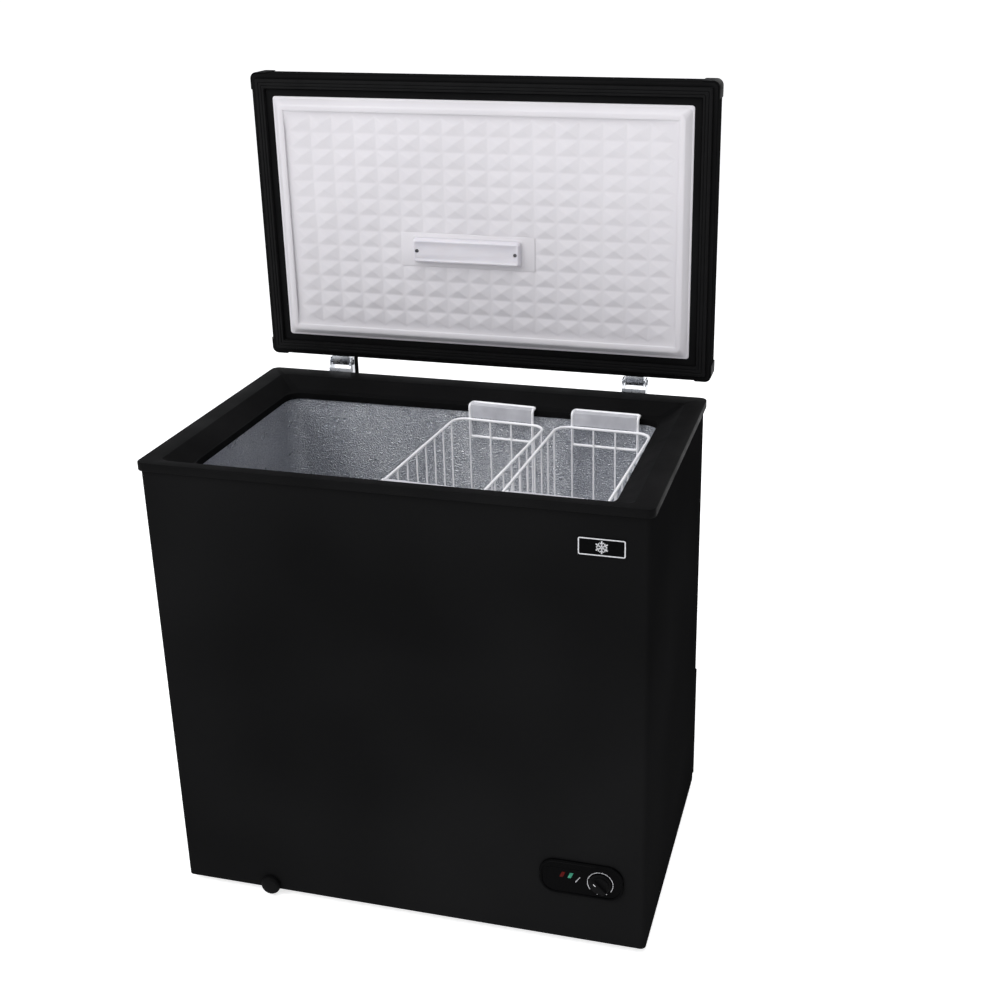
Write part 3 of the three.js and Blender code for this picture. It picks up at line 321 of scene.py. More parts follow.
def spoke(radius, degrees):
    """A point on a circle about the origin, counted from +X towards +Y."""
    angle = math.radians(degrees)
    return radius * math.cos(angle), radius * math.sin(angle)


def moved(bm, matrix):
    bmesh.ops.transform(bm, matrix=matrix, verts=bm.verts)
    return bm


def merged(*parts):
    """Several closed shells as one bmesh."""
    whole = bmesh.new()
    for part in parts:
        shell = bpy.data.meshes.new("shell")
        part.to_mesh(shell)
        part.free()
        whole.from_mesh(shell)
        bpy.data.meshes.remove(shell)
    return whole


print("cutting tools ready")

# %% Bend wire and soften copies
HANDLE = 0.448  # of the bend lies between the corner and a handle, for a quarter circle


def bent_wire(runs, radius, bend, round_steps=3, bend_steps=5):
    """Round wire along runs of straight stretches with bent corners, as one mesh.
    Each run is (points, closed). A corner becomes two Bezier points with handles towards it."""
    curve = bpy.data.curves.new("wire", "CURVE")
    curve.dimensions = "3D"
    curve.bevel_depth = radius
    curve.bevel_resolution = round_steps
    curve.resolution_u = bend_steps
    curve.use_fill_caps = True
    for points, closed in runs:
        points = [Vector(p) for p in points]
        count = len(points)
        knots = []
        for i, corner in enumerate(points):
            if not closed and i in (0, count - 1):
                knots.append((corner, corner, corner))
                continue
            before = (points[i - 1] - corner).normalized()
            after = (points[(i + 1) % count] - corner).normalized()
            start = corner + before * bend
            end = corner + after * bend
            knots.append((start + before * 0.3 * bend, start, corner + before * bend * HANDLE))
            knots.append((corner + after * bend * HANDLE, end, end + after * 0.3 * bend))
        spline = curve.splines.new("BEZIER")
        spline.bezier_points.add(len(knots) - 1)
        spline.use_cyclic_u = closed
        for knot, (before, centre, after) in zip(spline.bezier_points, knots):
            knot.handle_left_type = "FREE"
            knot.handle_right_type = "FREE"
            knot.handle_left = before
            knot.co = centre
            knot.handle_right = after
    holder = bpy.data.objects.new("wire", curve)
    bpy.context.scene.collection.objects.link(holder)
    graph = bpy.context.evaluated_depsgraph_get()
    mesh = bpy.data.meshes.new_from_object(holder.evaluated_get(graph))
    bpy.data.objects.remove(holder)
    bpy.data.curves.remove(curve)
    bm = bmesh.new()
    bm.from_mesh(mesh)
    bpy.data.meshes.remove(mesh)
    tidy_normals(bm)
    return bm


def softened_copy(node, width, steps=2, limit=30):
    """A merged copy of a frame part with its flat facets joined and its sharp edges rounded."""
    bm = bmesh.new()
    bm.from_mesh(nodes[node].data)
    bmesh.ops.remove_doubles(bm, verts=bm.verts, dist=1e-6)
    bmesh.ops.dissolve_limit(
        bm, angle_limit=math.radians(1), verts=bm.verts, edges=bm.edges, use_dissolve_boundaries=False)
    soften(bm, width, steps, limit)
    return bm


print("bends use a handle of", HANDLE)

# %% [markdown]
# ## Finishes
# Every finish is procedural and reads Object coordinates, which are metres in the freezer's own
# frame, so a grain of half a millimetre is the same size on every piece. One function lays down the
# shader, and small helpers add grain, a drift in gloss, or a drift in colour.

# %% Finish helpers


def finish(name, colour, roughness, metallic=0.0, specular=0.5):
    material = bpy.data.materials.new(name)
    material.use_nodes = True
    shader = material.node_tree.nodes["Principled BSDF"]
    shader.inputs["Base Color"].default_value = (*colour, 1)
    shader.inputs["Roughness"].default_value = roughness
    shader.inputs["Metallic"].default_value = metallic
    shader.inputs["Specular IOR Level"].default_value = specular
    material.diffuse_color = (*colour, 1)
    return material


def add_node(material, kind, **values):
    node = material.node_tree.nodes.new(kind)
    for key, value in values.items():
        if key in node.inputs:
            node.inputs[key].default_value = value
        else:
            setattr(node, key, value)
    return node


def object_coordinates(material, stretch=(1, 1, 1)):
    """Object coordinates in metres, stretched along x, y or z where a pattern has a direction."""
    source = add_node(material, "ShaderNodeTexCoord")
    mapping = add_node(material, "ShaderNodeMapping")
    mapping.inputs["Scale"].default_value = stretch
    material.node_tree.links.new(source.outputs["Object"], mapping.inputs["Vector"])
    return mapping.outputs["Vector"]


def noise(material, scale, detail=2.0, roughness=0.5, stretch=(1, 1, 1)):
    """A noise pattern; scale is how many features fit in a metre."""
    texture = add_node(material, "ShaderNodeTexNoise", Scale=scale, Detail=detail, Roughness=roughness)
    material.node_tree.links.new(object_coordinates(material, stretch), texture.inputs["Vector"])
    return texture.outputs["Fac"]


def spread(material, value, low, high):
    """Maps a 0..1 pattern on to a range, for roughness or height."""
    ramp = add_node(material, "ShaderNodeMapRange")
    ramp.inputs["From Min"].default_value = 0.3
    ramp.inputs["From Max"].default_value = 0.7
    ramp.inputs["To Min"].default_value = low
    ramp.inputs["To Max"].default_value = high
    material.node_tree.links.new(value, ramp.inputs["Value"])
    return ramp.outputs["Result"]


def tint(material, value, dark, light):
    """Blends two colours by a pattern."""
    ramp = add_node(material, "ShaderNodeValToRGB")
    ramp.color_ramp.elements[0].position = 0.32
    ramp.color_ramp.elements[0].color = (*dark, 1)
    ramp.color_ramp.elements[1].position = 0.68
    ramp.color_ramp.elements[1].color = (*light, 1)
    material.node_tree.links.new(value, ramp.inputs["Fac"])
    return ramp.outputs["Color"]


def connect(material, output, socket):
    shader = material.node_tree.nodes["Principled BSDF"]
    material.node_tree.links.new(output, shader.inputs[socket])


def emboss(material, height, strength, depth, under=None):
    """Bumps the surface by a height pattern. under is an earlier bump that it adds to."""
    bump = add_node(material, "ShaderNodeBump")
    bump.inputs["Strength"].default_value = strength
    bump.inputs["Distance"].default_value = depth
    material.node_tree.links.new(height, bump.inputs["Height"])
    if under is not None:
        material.node_tree.links.new(under, bump.inputs["Normal"])
    connect(material, bump.outputs["Normal"], "Normal")
    return bump.outputs["Normal"]


def dressed(name, colour, roughness, metallic, specular, grain, gloss=None, drift=None):
    """A finish with layers of grain, each (noise, strength, depth), and perhaps a drift in gloss,
    (noise, low, high), and in colour, (noise, dark, light). A noise is what noise() takes."""
    material = finish(name, colour, roughness, metallic, specular)
    under = None
    for pattern, strength, depth in grain:
        under = emboss(material, noise(material, *pattern), strength, depth, under)
    if gloss:
        pattern, low, high = gloss
        connect(material, spread(material, noise(material, *pattern), low, high), "Roughness")
    if drift:
        pattern, dark, light = drift
        connect(material, tint(material, noise(material, *pattern), dark, light), "Base Color")
    return material


def set_shader(material, **values):
    """Sets sockets of the shader, named with underscores for spaces."""
    shader = material.node_tree.nodes["Principled BSDF"]
    for name, value in values.items():
        shader.inputs[name.replace("_", " ")].default_value = value


print("finish helpers ready")

# %% [markdown]
# ## Black finishes
# The cabinet is powder-coated steel: almost black, with the fine orange peel that powder leaves
# when it flows, and a slow drift in tone. The collar and lid frame are moulded with a fine leather
# grain. The seal is a soft matt vinyl. Their reflections are kept low or off with the shader's own
# specular level, because a dark base colour alone would still mirror the pale studio at a slant.

# %% Make the black finishes
enamel = dressed(
    "black_enamel", (0.0076, 0.0076, 0.0078), 0.46, 0.0, 0.0,
    grain=[((620, 2.0), 0.22, 0.0005), ((9, 2.0), 0.05, 0.004)],
    gloss=((5, 3.0), 0.36, 0.50),
    drift=((2.2, 2.0), (0.0062, 0.0062, 0.0064), (0.0100, 0.0100, 0.0103)))
moulding = dressed(
    "black_moulding", (0.0056, 0.0056, 0.0058), 0.52, 0.0, 0.02,
    grain=[((1400, 3.0, 0.6), 0.22, 0.0003)],
    gloss=((14, 3.0), 0.44, 0.60),
    drift=((6, 2.0), (0.0046, 0.0046, 0.0048), (0.0072, 0.0072, 0.0075)))
vinyl = dressed(
    "seal_vinyl", (0.0036, 0.0036, 0.0039), 0.62, 0.0, 0.10,
    grain=[((900, 2.0), 0.15, 0.0002)],
    gloss=((30, 3.0), 0.52, 0.72))
gloss_black = dressed(
    "gloss_black", (0.0022, 0.0022, 0.0024), 0.24, 0.0, 0.015,
    grain=[((240, 2.0), 0.04, 0.0003)],
    gloss=((60, 3.0), 0.18, 0.32))
print("black finishes", [m.name for m in bpy.data.materials if "black" in m.name or "vinyl" in m.name])

# %% [markdown]
# ## White and clear finishes
# The lid's liner is a vacuum-formed sheet of white polystyrene, faintly lavender in this light. The
# basket wire is dipped in white plastic, which leaves it a little lumpy, and it is given a faint
# painted glow, so it shows brighter than the lamps alone make it. The lamp's lens is a milky
# moulding, with fine ribs inside that run across it.

# %% Make the white finishes
polystyrene = dressed(
    "white_polystyrene", (0.69, 0.67, 0.70), 0.36, 0.0, 0.45,
    grain=[((1100, 2.0), 0.06, 0.0002), ((16, 2.0), 0.10, 0.003)],
    gloss=((20, 3.0), 0.30, 0.44),
    drift=((4, 2.0), (0.665, 0.645, 0.675), (0.715, 0.695, 0.725)))
set_shader(polystyrene, Subsurface_Weight=0.06, Subsurface_Radius=(0.004, 0.0035, 0.003))
dipped_wire_with_glow = dressed(
    "dipped_white_wire_glowing", (0.90, 0.90, 0.93), 0.34, 0.0, 0.45,
    grain=[((260, 3.0), 0.35, 0.0006)],
    gloss=((80, 2.0), 0.26, 0.44),
    drift=((22, 2.0), (0.87, 0.87, 0.91), (0.95, 0.95, 0.97)))
# Painted light: the wire glows faintly white, though it is no lamp.
set_shader(dipped_wire_with_glow, Emission_Color=(1, 1, 1, 1), Emission_Strength=0.10)
grip_plastic = dressed(
    "grip_plastic", (0.60, 0.60, 0.64), 0.42, 0.0, 0.4,
    grain=[((900, 2.0), 0.10, 0.0002)],
    drift=((30, 3.0), (0.54, 0.54, 0.58), (0.68, 0.68, 0.72)))
print_white = dressed(
    "printed_white", (0.62, 0.62, 0.64), 0.45, 0.0, 0.5,
    grain=[((1500, 2.0), 0.1, 0.0001)],
    drift=((300, 2.0), (0.52, 0.52, 0.54), (0.68, 0.68, 0.70)))
print("white finishes", [m.name for m in (polystyrene, dipped_wire_with_glow, grip_plastic, print_white)])

# %% Make the milky lens
milky_lens = finish("milky_lens", (0.71, 0.69, 0.73), 0.28, 0.0, 0.4)
ribs = add_node(milky_lens, "ShaderNodeTexWave", Scale=170.0, Distortion=0.0)
milky_lens.node_tree.links.new(object_coordinates(milky_lens), ribs.inputs["Vector"])
emboss(milky_lens, ribs.outputs["Fac"], 0.20, 0.0004)
connect(milky_lens, tint(
    milky_lens, noise(milky_lens, 10, 2.0), (0.67, 0.65, 0.70), (0.75, 0.73, 0.77)), "Base Color")
set_shader(milky_lens, Subsurface_Weight=0.25, Subsurface_Radius=(0.006, 0.005, 0.004))
print("lens nodes", len(milky_lens.node_tree.nodes))

# %% [markdown]
# ## Metals
# The tub is stucco aluminium: thin sheet rolled between patterned cylinders, which presses small
# smooth pebbles into it. A cell pattern bent by noise gives pebbles of uneven size, a little over
# two millimetres across. Slow upright streaks break up the tone, as they do on rolled sheet. The
# hinges are zinc-plated steel, bright and slightly blue, with fine brushing, and the lamp's two
# small screws are a dull dark steel.

# %% Make the stucco aluminium
PEBBLES = 440.0  # in a metre
stucco = finish("stucco_aluminium", (0.78, 0.79, 0.84), 0.28, 0.90)
link = stucco.node_tree.links.new
warp = add_node(stucco, "ShaderNodeTexNoise", Scale=300.0, Detail=2.0)
link(object_coordinates(stucco), warp.inputs["Vector"])
shift = add_node(stucco, "ShaderNodeVectorMath", operation="MULTIPLY_ADD")
shift.inputs[1].default_value = (0.003, 0.003, 0.003)
link(warp.outputs["Color"], shift.inputs[0])
link(object_coordinates(stucco), shift.inputs[2])
pebbles = add_node(stucco, "ShaderNodeTexVoronoi", Scale=PEBBLES, feature="SMOOTH_F1")
pebbles.inputs["Smoothness"].default_value = 0.5
link(shift.outputs["Vector"], pebbles.inputs["Vector"])
emboss(stucco, pebbles.outputs["Distance"], 1.0, 0.0020)
connect(stucco, spread(stucco, noise(stucco, 40, 3.0), 0.26, 0.38), "Roughness")
grain = tint(stucco, noise(stucco, 640, 2.0), (0.46, 0.48, 0.54), (0.98, 0.99, 1.0))
streaks = tint(stucco, noise(stucco, 7, 2.0, 0.5, (1, 1, 0.15)), (0.66, 0.67, 0.70), (1.0, 1.0, 1.0))
both = add_node(stucco, "ShaderNodeMix", data_type="RGBA", blend_type="MULTIPLY", Factor=1.0)
FIRST_COLOUR = 6  # a Mix node has sockets for numbers and vectors before those for colours
SECOND_COLOUR = 7
MIXED_COLOUR = 2
link(grain, both.inputs[FIRST_COLOUR])
link(streaks, both.inputs[SECOND_COLOUR])
connect(stucco, both.outputs[MIXED_COLOUR], "Base Color")
print("pebbles about", round(1000 / PEBBLES, 1), "mm across")

# %% Make the other metals
zinc = dressed(
    "zinc_plate", (0.66, 0.68, 0.71), 0.28, 1.0, 0.5,
    grain=[((260, 3.0, 0.6, (0.15, 1, 6)), 0.12, 0.0002)],
    gloss=((90, 4.0), 0.18, 0.40),
    drift=((45, 3.0), (0.50, 0.53, 0.58), (0.74, 0.75, 0.77)))
screw_steel = dressed(
    "dull_screw_steel", (0.10, 0.10, 0.11), 0.42, 0.8, 0.5,
    grain=[((900, 3.0), 0.12, 0.0002)],
    drift=((200, 3.0), (0.07, 0.07, 0.075), (0.14, 0.14, 0.15)))
copper = dressed(
    "drawn_copper", (0.62, 0.30, 0.16), 0.32, 1.0, 0.5,
    grain=[((300, 2.0), 0.1, 0.0003)],
    gloss=((60, 3.0), 0.24, 0.46),
    drift=((25, 3.0), (0.42, 0.18, 0.09), (0.70, 0.36, 0.20)))
print("metals", [m.name for m in (stucco, zinc, screw_steel, copper)])

# %% [markdown]
# ## Lamps, foam and the compressor's enamel
# The two pilot lamps are small tinted windows. The green one is lit and the red one is dark, so only
# the green gets a little light of its own. The foam and the compressor are seen only through the
# grille, but they still get a grain of their own.

# %% Make the remaining finishes
green_window = dressed(
    "green_window", (0.015, 0.16, 0.10), 0.22, 0.0, 0.25,
    grain=[((900, 2.0), 0.2, 0.0002)],
    drift=((180, 2.0), (0.012, 0.13, 0.08), (0.03, 0.24, 0.15)))
set_shader(green_window, Emission_Color=(0.03, 0.50, 0.30, 1), Emission_Strength=0.07)
red_window = dressed(
    "red_window", (0.08, 0.004, 0.003), 0.22, 0.0, 0.05,
    grain=[((900, 2.0), 0.2, 0.0002)],
    drift=((180, 2.0), (0.06, 0.002, 0.002), (0.11, 0.006, 0.004)))
foam = dressed(
    "rigid_foam", (0.62, 0.47, 0.22), 0.95, 0.0, 0.5,
    grain=[((420, 4.0), 0.6, 0.0015)],
    drift=((120, 3.0), (0.50, 0.36, 0.15), (0.70, 0.55, 0.28)))
compressor_enamel = dressed(
    "compressor_enamel", (0.010, 0.010, 0.011), 0.38, 0.0, 0.4,
    grain=[((300, 3.0), 0.2, 0.0006)],
    gloss=((30, 3.0), 0.28, 0.5))
print("finishes", len(bpy.data.materials))

# %% [markdown]
# ## Finishes on the frame's own parts
# Parts that already have the right shape, or that are sealed inside, stay as they are and only get
# the finish of their slot.

# %% Dress the frame
slot_finish = {
    "black_paint": enamel, "black_plastic": moulding, "black_rubber": vinyl,
    "white_plastic": polystyrene, "stucco_aluminium": stucco, "zinc_steel": zinc,
    "coated_wire": dipped_wire_with_glow, "foam": foam, "copper": copper,
    "compressor_paint": compressor_enamel, "red_lens": red_window, "green_lens": green_window,
    "frosted_lens": milky_lens,
}
finished_parts = 0
for entry in frame["record"]["materials"]:
    for node in entry.get("nodes", []):
        for socket in nodes[node].material_slots:
            socket.material = slot_finish[entry["slot"]]
        finished_parts += 1
print("frame parts with a finish", finished_parts, "of", len(nodes))

# %% [markdown]
# ## Cabinet wrap
# The front and sides are one sheet of steel bent round two soft vertical corners. A tall ring with
# round corners gives both bends at once. It is then opened at the back with a plane cut, and holes
# are cut for the drain and the control box.

# %% Bend the cabinet wrap
SHEET = 1.2 * MM
WRAP_BEND = 9 * MM
wrap_plan, wrap_low, wrap_high = plan("outer_wrap")
full_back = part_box("rear_panel")[1].y
wrap_outer = (wrap_plan[0], wrap_plan[1], wrap_plan[2], full_back)
bm = bmesh.new()
stack(bm, [
    (wrap_outer, wrap_low, WRAP_BEND),
    (wrap_outer, wrap_high, WRAP_BEND),
    (inset_box(wrap_outer, SHEET), wrap_high, WRAP_BEND - SHEET),
    (inset_box(wrap_outer, SHEET), wrap_low, WRAP_BEND - SHEET)], closed=True)
plug_low, plug_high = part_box("drain_plug")
drain_centre = middle(plug_low, plug_high)
drain_radius = (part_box("drain_tube")[1].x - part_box("drain_tube")[0].x) / 2
back_slice = block(-1, 1, wrap_plan[3], full_back + 1, wrap_low - 0.1, wrap_high + 0.1)
bezel_low, bezel_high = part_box("control_bezel")
control_hole = block(
    bezel_low.x + 14 * MM, bezel_high.x - 8 * MM, wrap_plan[2] - 0.01, wrap_plan[2] + 0.01,
    bezel_low.z + 8 * MM, bezel_high.z - 8 * MM)
drain_hole = drill(
    drain_radius + 0.3 * MM, (drain_centre.x, wrap_plan[2], drain_centre.z), "y", 0.02)
bm = carve(bm, [back_slice, control_hole, drain_hole])
place("cabinet_wrap", bm, "cabinet", "black_paint", enamel, ["outer_wrap"], smooth=40)
print("wrap", round(wrap_plan[1] - wrap_plan[0], 3), "m wide,", round(wrap_high - wrap_low, 3), "m tall")

# %% [markdown]
# ## Collar
# The black collar caps the cabinet's walls. Seen in section it has a lip over the steel, a flat
# flange, a bank that falls to a narrow ledge, and a skirt that holds the tub. The opening's corners
# are rounder than the flange's, and stacking outlines with different radii makes that change by
# itself.

# %% Mould the collar
collar_plan, collar_low, collar_high = plan("rim_collar")
WALL = 2.5 * MM
LIP = 14 * MM
LIP_GAP = 4.7 * MM
LEDGE = 18 * MM
MOUTH = 30 * MM
LIP_CORNER = 14 * MM
FLANGE_CORNER = 10 * MM
SLOPE_CORNER = 14 * MM
flange_box = inset_box(collar_plan, side=34 * MM, front=20 * MM, back=38 * MM)
slope_box = inset_box(collar_plan, side=68 * MM, front=32 * MM, back=66 * MM)
opening_box = inset_box(collar_plan, side=70 * MM, front=47 * MM, back=82 * MM)


def grown(box, by):
    return inset_box(box, -by)


bm = bmesh.new()
ledge_z = collar_high - LEDGE
stack(bm, [
    (collar_plan, collar_high - LIP, LIP_CORNER),
    (collar_plan, collar_high, LIP_CORNER),
    (flange_box, collar_high, FLANGE_CORNER),
    (slope_box, ledge_z, SLOPE_CORNER),
    (opening_box, ledge_z, MOUTH),
    (opening_box, collar_low, MOUTH),
    (grown(opening_box, WALL), collar_low, MOUTH + WALL),
    (grown(opening_box, WALL), ledge_z - WALL, MOUTH + WALL),
    (grown(slope_box, WALL), ledge_z - WALL, SLOPE_CORNER + WALL),
    (grown(flange_box, WALL), collar_high - WALL, FLANGE_CORNER + WALL),
    (inset_box(collar_plan, LIP_GAP), collar_high - WALL, LIP_CORNER - LIP_GAP),
    (inset_box(collar_plan, LIP_GAP), collar_high - LIP, LIP_CORNER - LIP_GAP)], closed=True)
soften(bm, 1.1 * MM, 3, 24, lambda e: min(v.co.z for v in e.verts) > collar_low + 1 * MM)
place("collar_moulding", bm, "cabinet", "black_plastic", moulding, ["rim_collar"])
print("opening", round(opening_box[1] - opening_box[0], 3), "by", round(opening_box[3] - opening_box[2], 3))

# %% [markdown]
# ## Tub
# The tub is folded from one embossed sheet, with a step over the machine bay. A block with round
# corners has the step cut out of it, its folds are softened, its top is opened, and the skin is
# given the sheet's thickness outward, so the room inside keeps its size.

# %% Fold the tub
TUB_SHEET = 1 * MM
STEP_PAST_TUBE = 51.2 * MM
STEP_UNDER_TUBE = 34 * MM
tub_plan, tub_low, tub_high = plan("tub_liner")
tub_room = inset_box(tub_plan, TUB_SHEET)
tub_corner = MOUTH + 2.8 * MM
step_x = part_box("condenser_tube")[1].x + STEP_PAST_TUBE
step_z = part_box("evaporator_tube")[0].z - STEP_UNDER_TUBE
bm = bmesh.new()
stack(bm, [
    (tub_room, tub_low + TUB_SHEET, tub_corner), (tub_room, tub_high, tub_corner)],
    capped=True, steps=12)
bm = carve(bm, [block(step_x, 1, -1, 1, -1, step_z)])
soften(bm, 7 * MM, 4, 60, lambda e: max(v.co.z for v in e.verts) < tub_high - 1 * MM)
top_faces = [f for f in bm.faces if f.calc_center_median().z > tub_high - 0.1 * MM and f.normal.z > 0.9]
bmesh.ops.delete(bm, geom=top_faces, context="FACES_ONLY")
bmesh.ops.solidify(bm, geom=bm.faces, thickness=-TUB_SHEET)
place("stucco_tub", bm, "cabinet", "stucco_aluminium", stucco, ["tub_liner"], smooth=40)
print("tub step at x", round(step_x, 3), "and z", round(step_z, 3))

# %% [markdown]
# ## Wire baskets
# Each basket is welded from round wire: a thick top ring, thin wires bent into U shapes across and
# along it, and a closed loop at each end whose upper bar lies on the collar's ledge. Wire is easiest
# as a curve with a round section, which is then turned into a mesh. The baskets hang a little askew,
# each by its own angle, so each is drawn square about its own centre and then turned.

# %% Bend the baskets
BASKET_YAW = {"left": math.radians(-3.6), "right": math.radians(-1.8)}
BASKET_WIDTH = 174 * MM
BASKET_LENGTH = 363 * MM
RING_DROP = 41 * MM
RING_WIRE = 2.5 * MM
RING_CORNER = 24 * MM
THIN_WIRE = 1.6 * MM
THIN_BEND = 14 * MM
CROSS_WIRES = 9
LONG_WIRES = 4
WELD = 0.8  # of the two radii lies between the middles of two welded wires
LOOP_WIDTH = 118 * MM
LOOP_LOW = -33 * MM
LOOP_OUT = 20 * MM
LOOP_BEND = 5 * MM


def basket_wires(depth, bar_z):
    """One basket about its own centre, with its top ring at z = 0."""
    half_w = BASKET_WIDTH / 2 - RING_WIRE
    half_l = BASKET_LENGTH / 2 - RING_WIRE
    floor = -depth + THIN_WIRE
    ring = [(-half_w, -half_l, 0), (half_w, -half_l, 0), (half_w, half_l, 0), (-half_w, half_l, 0)]
    parts = [bent_wire([(ring, True)], RING_WIRE, RING_CORNER, 3, 8)]
    thin = []
    reach = half_l - RING_CORNER
    for i in range(CROSS_WIRES):
        y = -reach + 2 * reach * i / (CROSS_WIRES - 1)
        thin.append(([(-half_w, y, 0), (-half_w, y, floor), (half_w, y, floor), (half_w, y, 0)], False))
    z = floor - THIN_WIRE * WELD
    for i in range(LONG_WIRES):
        x = -LOOP_WIDTH / 2 + LOOP_WIDTH * i / (LONG_WIRES - 1)
        thin.append(([(x, -half_l, 0), (x, -half_l, z), (x, half_l, z), (x, half_l, 0)], False))
    parts.append(bent_wire(thin, THIN_WIRE, THIN_BEND, 2, 5))
    hooks = []
    half = LOOP_WIDTH / 2
    for end in (-1, 1):
        y = end * (half_l + (RING_WIRE + THIN_WIRE) * WELD)
        far = end * (half_l + LOOP_OUT)
        hooks.append(([
            (-half, y, LOOP_LOW), (half, y, LOOP_LOW), (half, y, bar_z), (half, far, bar_z),
            (-half, far, bar_z), (-half, y, bar_z)], True))
    parts.append(bent_wire(hooks, RING_WIRE, LOOP_BEND, 3, 5))
    return merged(*parts)


print("basket", round(BASKET_WIDTH, 3), "by", round(BASKET_LENGTH, 3))

# %% Hang the baskets
for side in ("left", "right"):
    low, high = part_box(f"basket_{side}")
    ring_z = collar_high - RING_DROP
    bar_z = ledge_z - ring_z + RING_WIRE + 0.3 * MM
    centre = middle(low, high)
    hang = Matrix.Translation((centre.x, centre.y, ring_z)) @ Matrix.Rotation(BASKET_YAW[side], 4, "Z")
    bm = moved(basket_wires(ring_z - low.z, bar_z), hang)
    place(f"wire_basket_{side}", bm, f"{side}_basket", "coated_wire", dipped_wire_with_glow, [f"basket_{side}"], 60)
print("basket ring at z", round(ring_z, 3), "bars at", round(ring_z + bar_z, 4))

# %% [markdown]
# ## Basket grips
# A white plastic plate fills the upper part of each loop and folds over the ledge, so that fingers
# don't press on bare wire. It is a bent strip, and only needs its sharp edges rounded.

# %% Mould the grips
GRIP_ROUND = 0.5 * MM
for side in ("left", "right"):
    for end in ("back", "front"):
        node = f"basket_{side}_grip_{end}"
        bm = softened_copy(node, GRIP_ROUND, 3)
        place(f"grip_{side}_{end}", bm, f"{side}_basket", "white_plastic", grip_plastic, [node])
print("grip edges rounded by", round(GRIP_ROUND * 1000, 1), "mm")

# %% [markdown]
# ## The lid's own frame of reference
# The lid stands open, but its parts are far easier to think of lying shut, with the hinge pins at
# the origin. So each lid part is drawn shut, and one matrix swings it open about the pins.

# %% Swing from shut to open
hinge_joint = next(j for j in frame["joints"] if j["name"] == "lid_hinge")
pin = Vector(hinge_joint["pos_m"])
open_lid = Matrix.Translation(pin) @ Matrix.Rotation(-math.pi / 2, 4, "X")


def shut_plan(node):
    """A lid part's extent as it lies shut: (x0, x1, y0, y1), lowest z and highest z."""
    low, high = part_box(node)
    corners = [open_lid.inverted() @ Vector((x, y, z)) for x in (low.x, high.x)
               for y in (low.y, high.y) for z in (low.z, high.z)]
    spans = [(min(c[i] for c in corners), max(c[i] for c in corners)) for i in range(3)]
    return (*spans[0], *spans[1]), *spans[2]


lid_plan, shell_low, lid_top = shut_plan("lid_shell")
lid_plane = shut_plan("lid_frame")[1]
print("lid", round(lid_plan[1] - lid_plan[0], 3), "by", round(lid_plan[3] - lid_plan[2], 3),
      "inner plane", round(lid_plane, 4))

# %% [markdown]
# ## Lid shell
# The outside of the lid is a pressed steel tray with round corners and a soft top edge. Stacked
# outlines that draw in along a quarter circle give the soft edge, and the inside follows one sheet
# thickness further in.

# %% Press the lid shell
LID_CORNER = 10 * MM
EDGE_ROUND = 3.2 * MM
EDGE_STEPS = 5


def pressed_tray(shift, z_low, z_top):
    """The outlines of one face of the tray, from its rim to its flat top."""
    loops = [(inset_box(lid_plan, shift), z_low, LID_CORNER - shift)]
    for i in range(EDGE_STEPS + 1):
        angle = math.pi / 2 * i / EDGE_STEPS
        drawn = (EDGE_ROUND - shift) * (1 - math.cos(angle)) + shift
        z = z_top - EDGE_ROUND + (EDGE_ROUND - shift) * math.sin(angle)
        loops.append((inset_box(lid_plan, drawn), z, max(LID_CORNER - drawn, 3 * MM)))
    return loops


bm = bmesh.new()
outer = pressed_tray(0, shell_low, lid_top)
inner = pressed_tray(SHEET, shell_low, lid_top)
stack(bm, outer[::-1] + inner, capped=True)
place("lid_tray", moved(bm, open_lid), "lid", "black_paint", enamel, ["lid_shell"], smooth=25)
print("tray depth", round(lid_top - shell_low, 4))

# %% [markdown]
# ## Lid frame and seal
# A black moulded frame closes the tray. It has a groove for the seal, and a lip that holds the edge
# of the white liner. The seal is a soft bellows with a magnet strip: its section has pinched sides
# and a face with two fine creases.

# %% Mould the frame


def section_ring(section, corner_of):
    """A closed ring round the lid. section lists (inset from the lid's edge, z)."""
    bm = bmesh.new()
    stack(bm, [(inset_box(lid_plan, inset), z, corner_of(inset)) for inset, z in section],
         closed=True)
    return bm


def lid_corner(inset):
    return max(LID_CORNER - inset, 2.5 * MM)


FRAME_EDGE = 1.5 * MM
FRAME_HOLE = 47 * MM
GROOVE = (8.7 * MM, 26.3 * MM)
GROOVE_DEPTH = 4 * MM
LINER_EDGE = 39 * MM
SEAT_EDGE = LINER_EDGE - 0.3 * MM
SEAT_DEPTH = 1.9 * MM
frame_back = shut_plan("lid_frame")[2]
frame_section = [
    (FRAME_EDGE, frame_back), (FRAME_EDGE, lid_plane), (GROOVE[0], lid_plane),
    (GROOVE[0], lid_plane + GROOVE_DEPTH), (GROOVE[1], lid_plane + GROOVE_DEPTH),
    (GROOVE[1], lid_plane), (SEAT_EDGE, lid_plane), (SEAT_EDGE, lid_plane + SEAT_DEPTH),
    (FRAME_HOLE, lid_plane + SEAT_DEPTH), (FRAME_HOLE, frame_back)]
bm = section_ring(frame_section, lid_corner)
soften(bm, 0.7 * MM, 3, 40)
place("lid_frame_moulding", moved(bm, open_lid), "lid", "black_plastic", moulding, ["lid_frame"])
print("groove", round((GROOVE[1] - GROOVE[0]) * 1000, 1), "mm wide")

